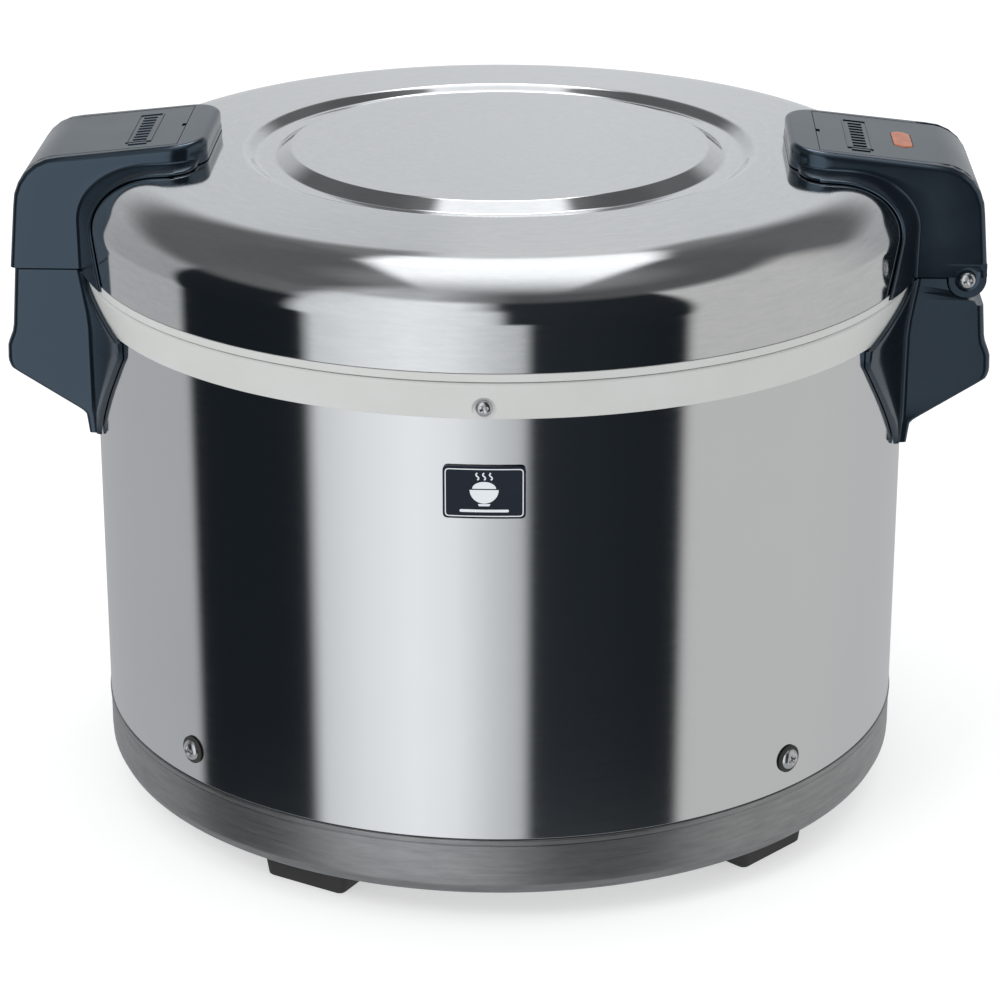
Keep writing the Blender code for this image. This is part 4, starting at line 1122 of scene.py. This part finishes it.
# ---- feet, gland and carried-over nodes ----
def make_feet():
    """Feet with rounded edges and a rim round the base."""
    for number, azimuth in enumerate(FOOT_AZIMUTHS, 1):
        turn = radians(azimuth)
        centre = polar(FOOT_R, azimuth, 0.0)
        rings = []
        for z, half_x, half_y, corner in ((0.0, 9.6, 18.4, 3.0), (0.5, 10.1, 18.9, 3.6),
                                          (8.6, 10.8, 20.2, 4.0), (9.1, 11.0, 20.5, 4.0),
                                          (11.3, 11.0, 20.5, 4.0), (11.7, 10.7, 20.2, 3.8)):
            rings.append([(centre.x + x * cos(turn) - y * sin(turn),
                           centre.y + x * sin(turn) + y * cos(turn), z)
                          for x, y in frame_outline(half_x, half_y, corner, 5)])
        bm = bmesh.new()
        skin(bm, rings)
        foot = finished(bm, "foot_%d_fine" % number)
        carve(foot, bar("bore", centre + Vector((0, 0, -2)), centre + Vector((0, 0, 4.3)), 4.4, 32))
        dress(foot, MATS["rubber"], "base", "rubber", "foot_%d" % number)


def make_gland():
    """Flanged rubber bush low on the back."""
    profile = rounded([(4.2, 0.0), (6.9, 0.0), (6.9, 8.6), (7.0, 9.4), (7.0, 11.2, 0.8),
                       (5.4, 12.2, 0.8), (4.2, 12.2, 0.4)], 4)
    gland = lathe("cord_gland_fine", profile, 48)
    gland.data.transform(along((0, 166.0 * MM, 70.0 * MM), (0, 170.0 * MM, 70.0 * MM)))
    dress(gland, MATS["rubber"], "base", "rubber", "cord_gland")


def paint_carried():
    """Procedural materials on the CAD nodes that stay."""
    plan = {"bottom_plate": "zinc", "side_heater": "mica", "base_heater": "mica", "lid_heater": "mica",
            "insulation_blanket": "wool", "lid_insulation": "wool", "thermostat": "ceramic",
            "terminal_block": "ceramic", "thermal_fuse": "zinc", "lamp_bulb": "glass"}
    for node, paint in plan.items():
        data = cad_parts[node].data
        data.materials.clear()
        data.materials.append(MATS[paint])


# ---- studio ----
def make_floor():
    """A plain pale floor."""
    bm = bmesh.new()
    bmesh.ops.create_grid(bm, x_segments=1, y_segments=1, size=6000.0)
    floor = finished(bm, "floor", weighted=False)
    material = bpy.data.materials.new("floor")
    material.use_nodes = True
    shader = material.node_tree.nodes["Principled BSDF"]
    shader.inputs["Base Color"].default_value = (0.60, 0.60, 0.60, 1.0)
    shader.inputs["Roughness"].default_value = 0.9
    shader.inputs["Emission Color"].default_value = (1.0, 1.0, 1.0, 1.0)
    shader.inputs["Emission Strength"].default_value = 0.52
    floor.data.materials.append(material)
    floor.visible_glossy = False


def make_world():
    """Plain white surroundings for diffuse light, and a studio of panels and dark gaps to reflect."""
    world = bpy.data.worlds.new("studio")
    bpy.context.scene.world = world
    world.use_nodes = True
    world.node_tree.nodes.clear()
    tree = Nodes(world.node_tree)
    coords = tree.add("ShaderNodeTexCoord").outputs["Generated"]
    x, y, z = tree.add("ShaderNodeSeparateXYZ", {0: coords}).outputs
    azimuth = tree.math("ARCTAN2", x, tree.math("MULTIPLY", y, -1.0))
    turn = tree.math("ADD", tree.math("MULTIPLY", azimuth, 0.5 / pi), 0.5)

    def grey(level, cool=0.02):
        """A level with a little more blue than red."""
        return (level * (1.0 - cool), level, level * (1.0 + cool))

    def walls(*rows):
        """A ramp over the azimuth, in degrees from the front towards +X, of levels or colours."""
        node = tree.add("ShaderNodeValToRGB", {"Fac": turn})
        stops = node.color_ramp.elements
        stops.remove(stops[1])
        for i, (towards, color) in enumerate(rows):
            place = (towards + 180.0) / 360.0
            stop = stops[0] if i == 0 else stops.new(place)
            stop.position = place
            stop.color = (*(color if isinstance(color, tuple) else grey(color)), 1.0)
        return node.outputs["Color"]

    dark, dim, warm = grey(0.014, 0.25), grey(0.024, 0.2), grey(0.56, -0.01)
    pane = [(-37, 0.86), (-22, 0.98), (-10, 0.91)]
    window = [(-51.5, 0.70), *pane]
    side = [(52, dark), (55.5, warm), (100, warm)]
    low = walls((-180, 0.45), (-95, 0.45), (-92, dark), (-53.5, dark), (-49, 0.70), *pane,
                (0, 0.68), (8, 0.54), (11, dim), *side, (180, 0.49))
    middle = walls((-180, 0.70), (-160, 0.58), (-148, 0.45), (-120, 0.38), (-95, 0.36),
                   (-91.5, dark), (-57, dark), *window, (-3, 0.80), (1, 0.62), (4.5, dim),
                   *side, (125, 0.40), (148, 0.45), (160, 0.58), (180, 0.70))
    high = walls((-180, 0.30), (-165, 0.13), (-125, 0.12), (-105, 0.12), (-60, 0.15), *window,
                 (-4, 0.62), (3, dim), *side, (112, grey(0.50, -0.02)), (125, 0.14), (165, 0.13),
                 (180, 0.30))
    upper = walls((-180, 0.11), (-66, 0.12), (-48, 0.48), (-25, 0.52), (-8, 0.26), (8, 0.09),
                  (60, 0.10), (180, 0.11))
    studio = tree.mix(tree.step(z, -0.24, -0.12), low, middle)
    studio = tree.mix(tree.step(z, -0.44, -0.64), studio, grey(0.42))
    studio = tree.mix(tree.step(z, 0.34, 0.54), studio, high)
    studio = tree.mix(tree.step(z, 0.67, 0.79), studio, upper)
    studio = tree.mix(tree.step(z, 0.86, 1.02), studio, grey(0.30))
    # Cards overhead: a dim strip to the back, a bright tapered card and its brighter core. Places
    # on them are tangents of the angle from straight up, beside it and behind it.
    above = tree.math("MAXIMUM", z, 0.01)
    behind = tree.math("DIVIDE", y, above)
    across = tree.math("DIVIDE", tree.math("ABSOLUTE", x), above)
    taper = tree.math("MULTIPLY", tree.math("MAXIMUM", tree.math("SUBTRACT", behind, 0.7), 0.0), 0.16)
    tapered = tree.math("ADD", across, taper)
    for beside, (inner, outer), (far, back), (near, front), level in (
            (across, (0.10, 0.17), (2.70, 2.10), (0.30, 0.70), grey(0.70, 0.01)),
            (tapered, (0.21, 0.27), (1.34, 1.08), (-0.46, 0.38), grey(1.27, 0.01)),
            (across, (0.16, 0.20), (0.86, 0.74), (0.56, 0.68), grey(6.0, 0.01))):
        mask = tree.math("MULTIPLY", tree.step(beside, outer, inner), tree.math(
            "MULTIPLY", tree.step(behind, far, back), tree.step(behind, near, front)))
        studio = tree.mix(mask, studio, level)
    path = tree.add("ShaderNodeLightPath").outputs
    plain = tree.mix(path["Is Camera Ray"], grey(0.92, 0.01), (1.0, 1.0, 1.0))
    color = tree.mix(path["Is Glossy Ray"], plain, studio)
    background = tree.add("ShaderNodeBackground", {"Color": color, "Strength": 1.0})
    tree.add("ShaderNodeOutputWorld", {"Surface": background.outputs[0]})


def make_lights():
    """A soft key from the upper left and a weak rim, which reflections leave out."""
    for name, place, size, power in (("key", (-1.1, -1.3, 1.7), 0.9, 11.0),
                                     ("rim", (0.9, 1.2, 1.4), 0.9, 3.0)):
        data = bpy.data.lights.new(name, "AREA")
        data.size = size
        data.energy = power
        light = bpy.data.objects.new(name, data)
        bpy.context.scene.collection.objects.link(light)
        light.location = place
        light.rotation_euler = (Vector((0, 0, 0.15)) - Vector(place)).to_track_quat("-Z", "Y").to_euler()
        light.visible_glossy = False


def make_camera():
    """The camera, a little right of the middle and looking down at the object."""
    data = bpy.data.cameras.new("camera")
    data.lens = 117.4
    data.sensor_width = 36.0
    data.shift_y = -0.06
    camera = bpy.data.objects.new("camera", data)
    bpy.context.scene.collection.objects.link(camera)
    place, target = Vector((0.047, -1.351, 0.645)), Vector((0.0, 0.0, 0.1465))
    camera.location = place
    camera.rotation_euler = (target - place).to_track_quat("-Z", "Y").to_euler()
    bpy.context.scene.camera = camera


make_camera()
make_drum()
make_badge()
make_screws()
make_brackets()
make_inside()
make_lid()
make_left_arm()
make_right_arm()
make_feet()
make_gland()
paint_carried()
make_floor()
make_world()
make_lights()
bpy.context.scene.view_settings.view_transform = "Standard"
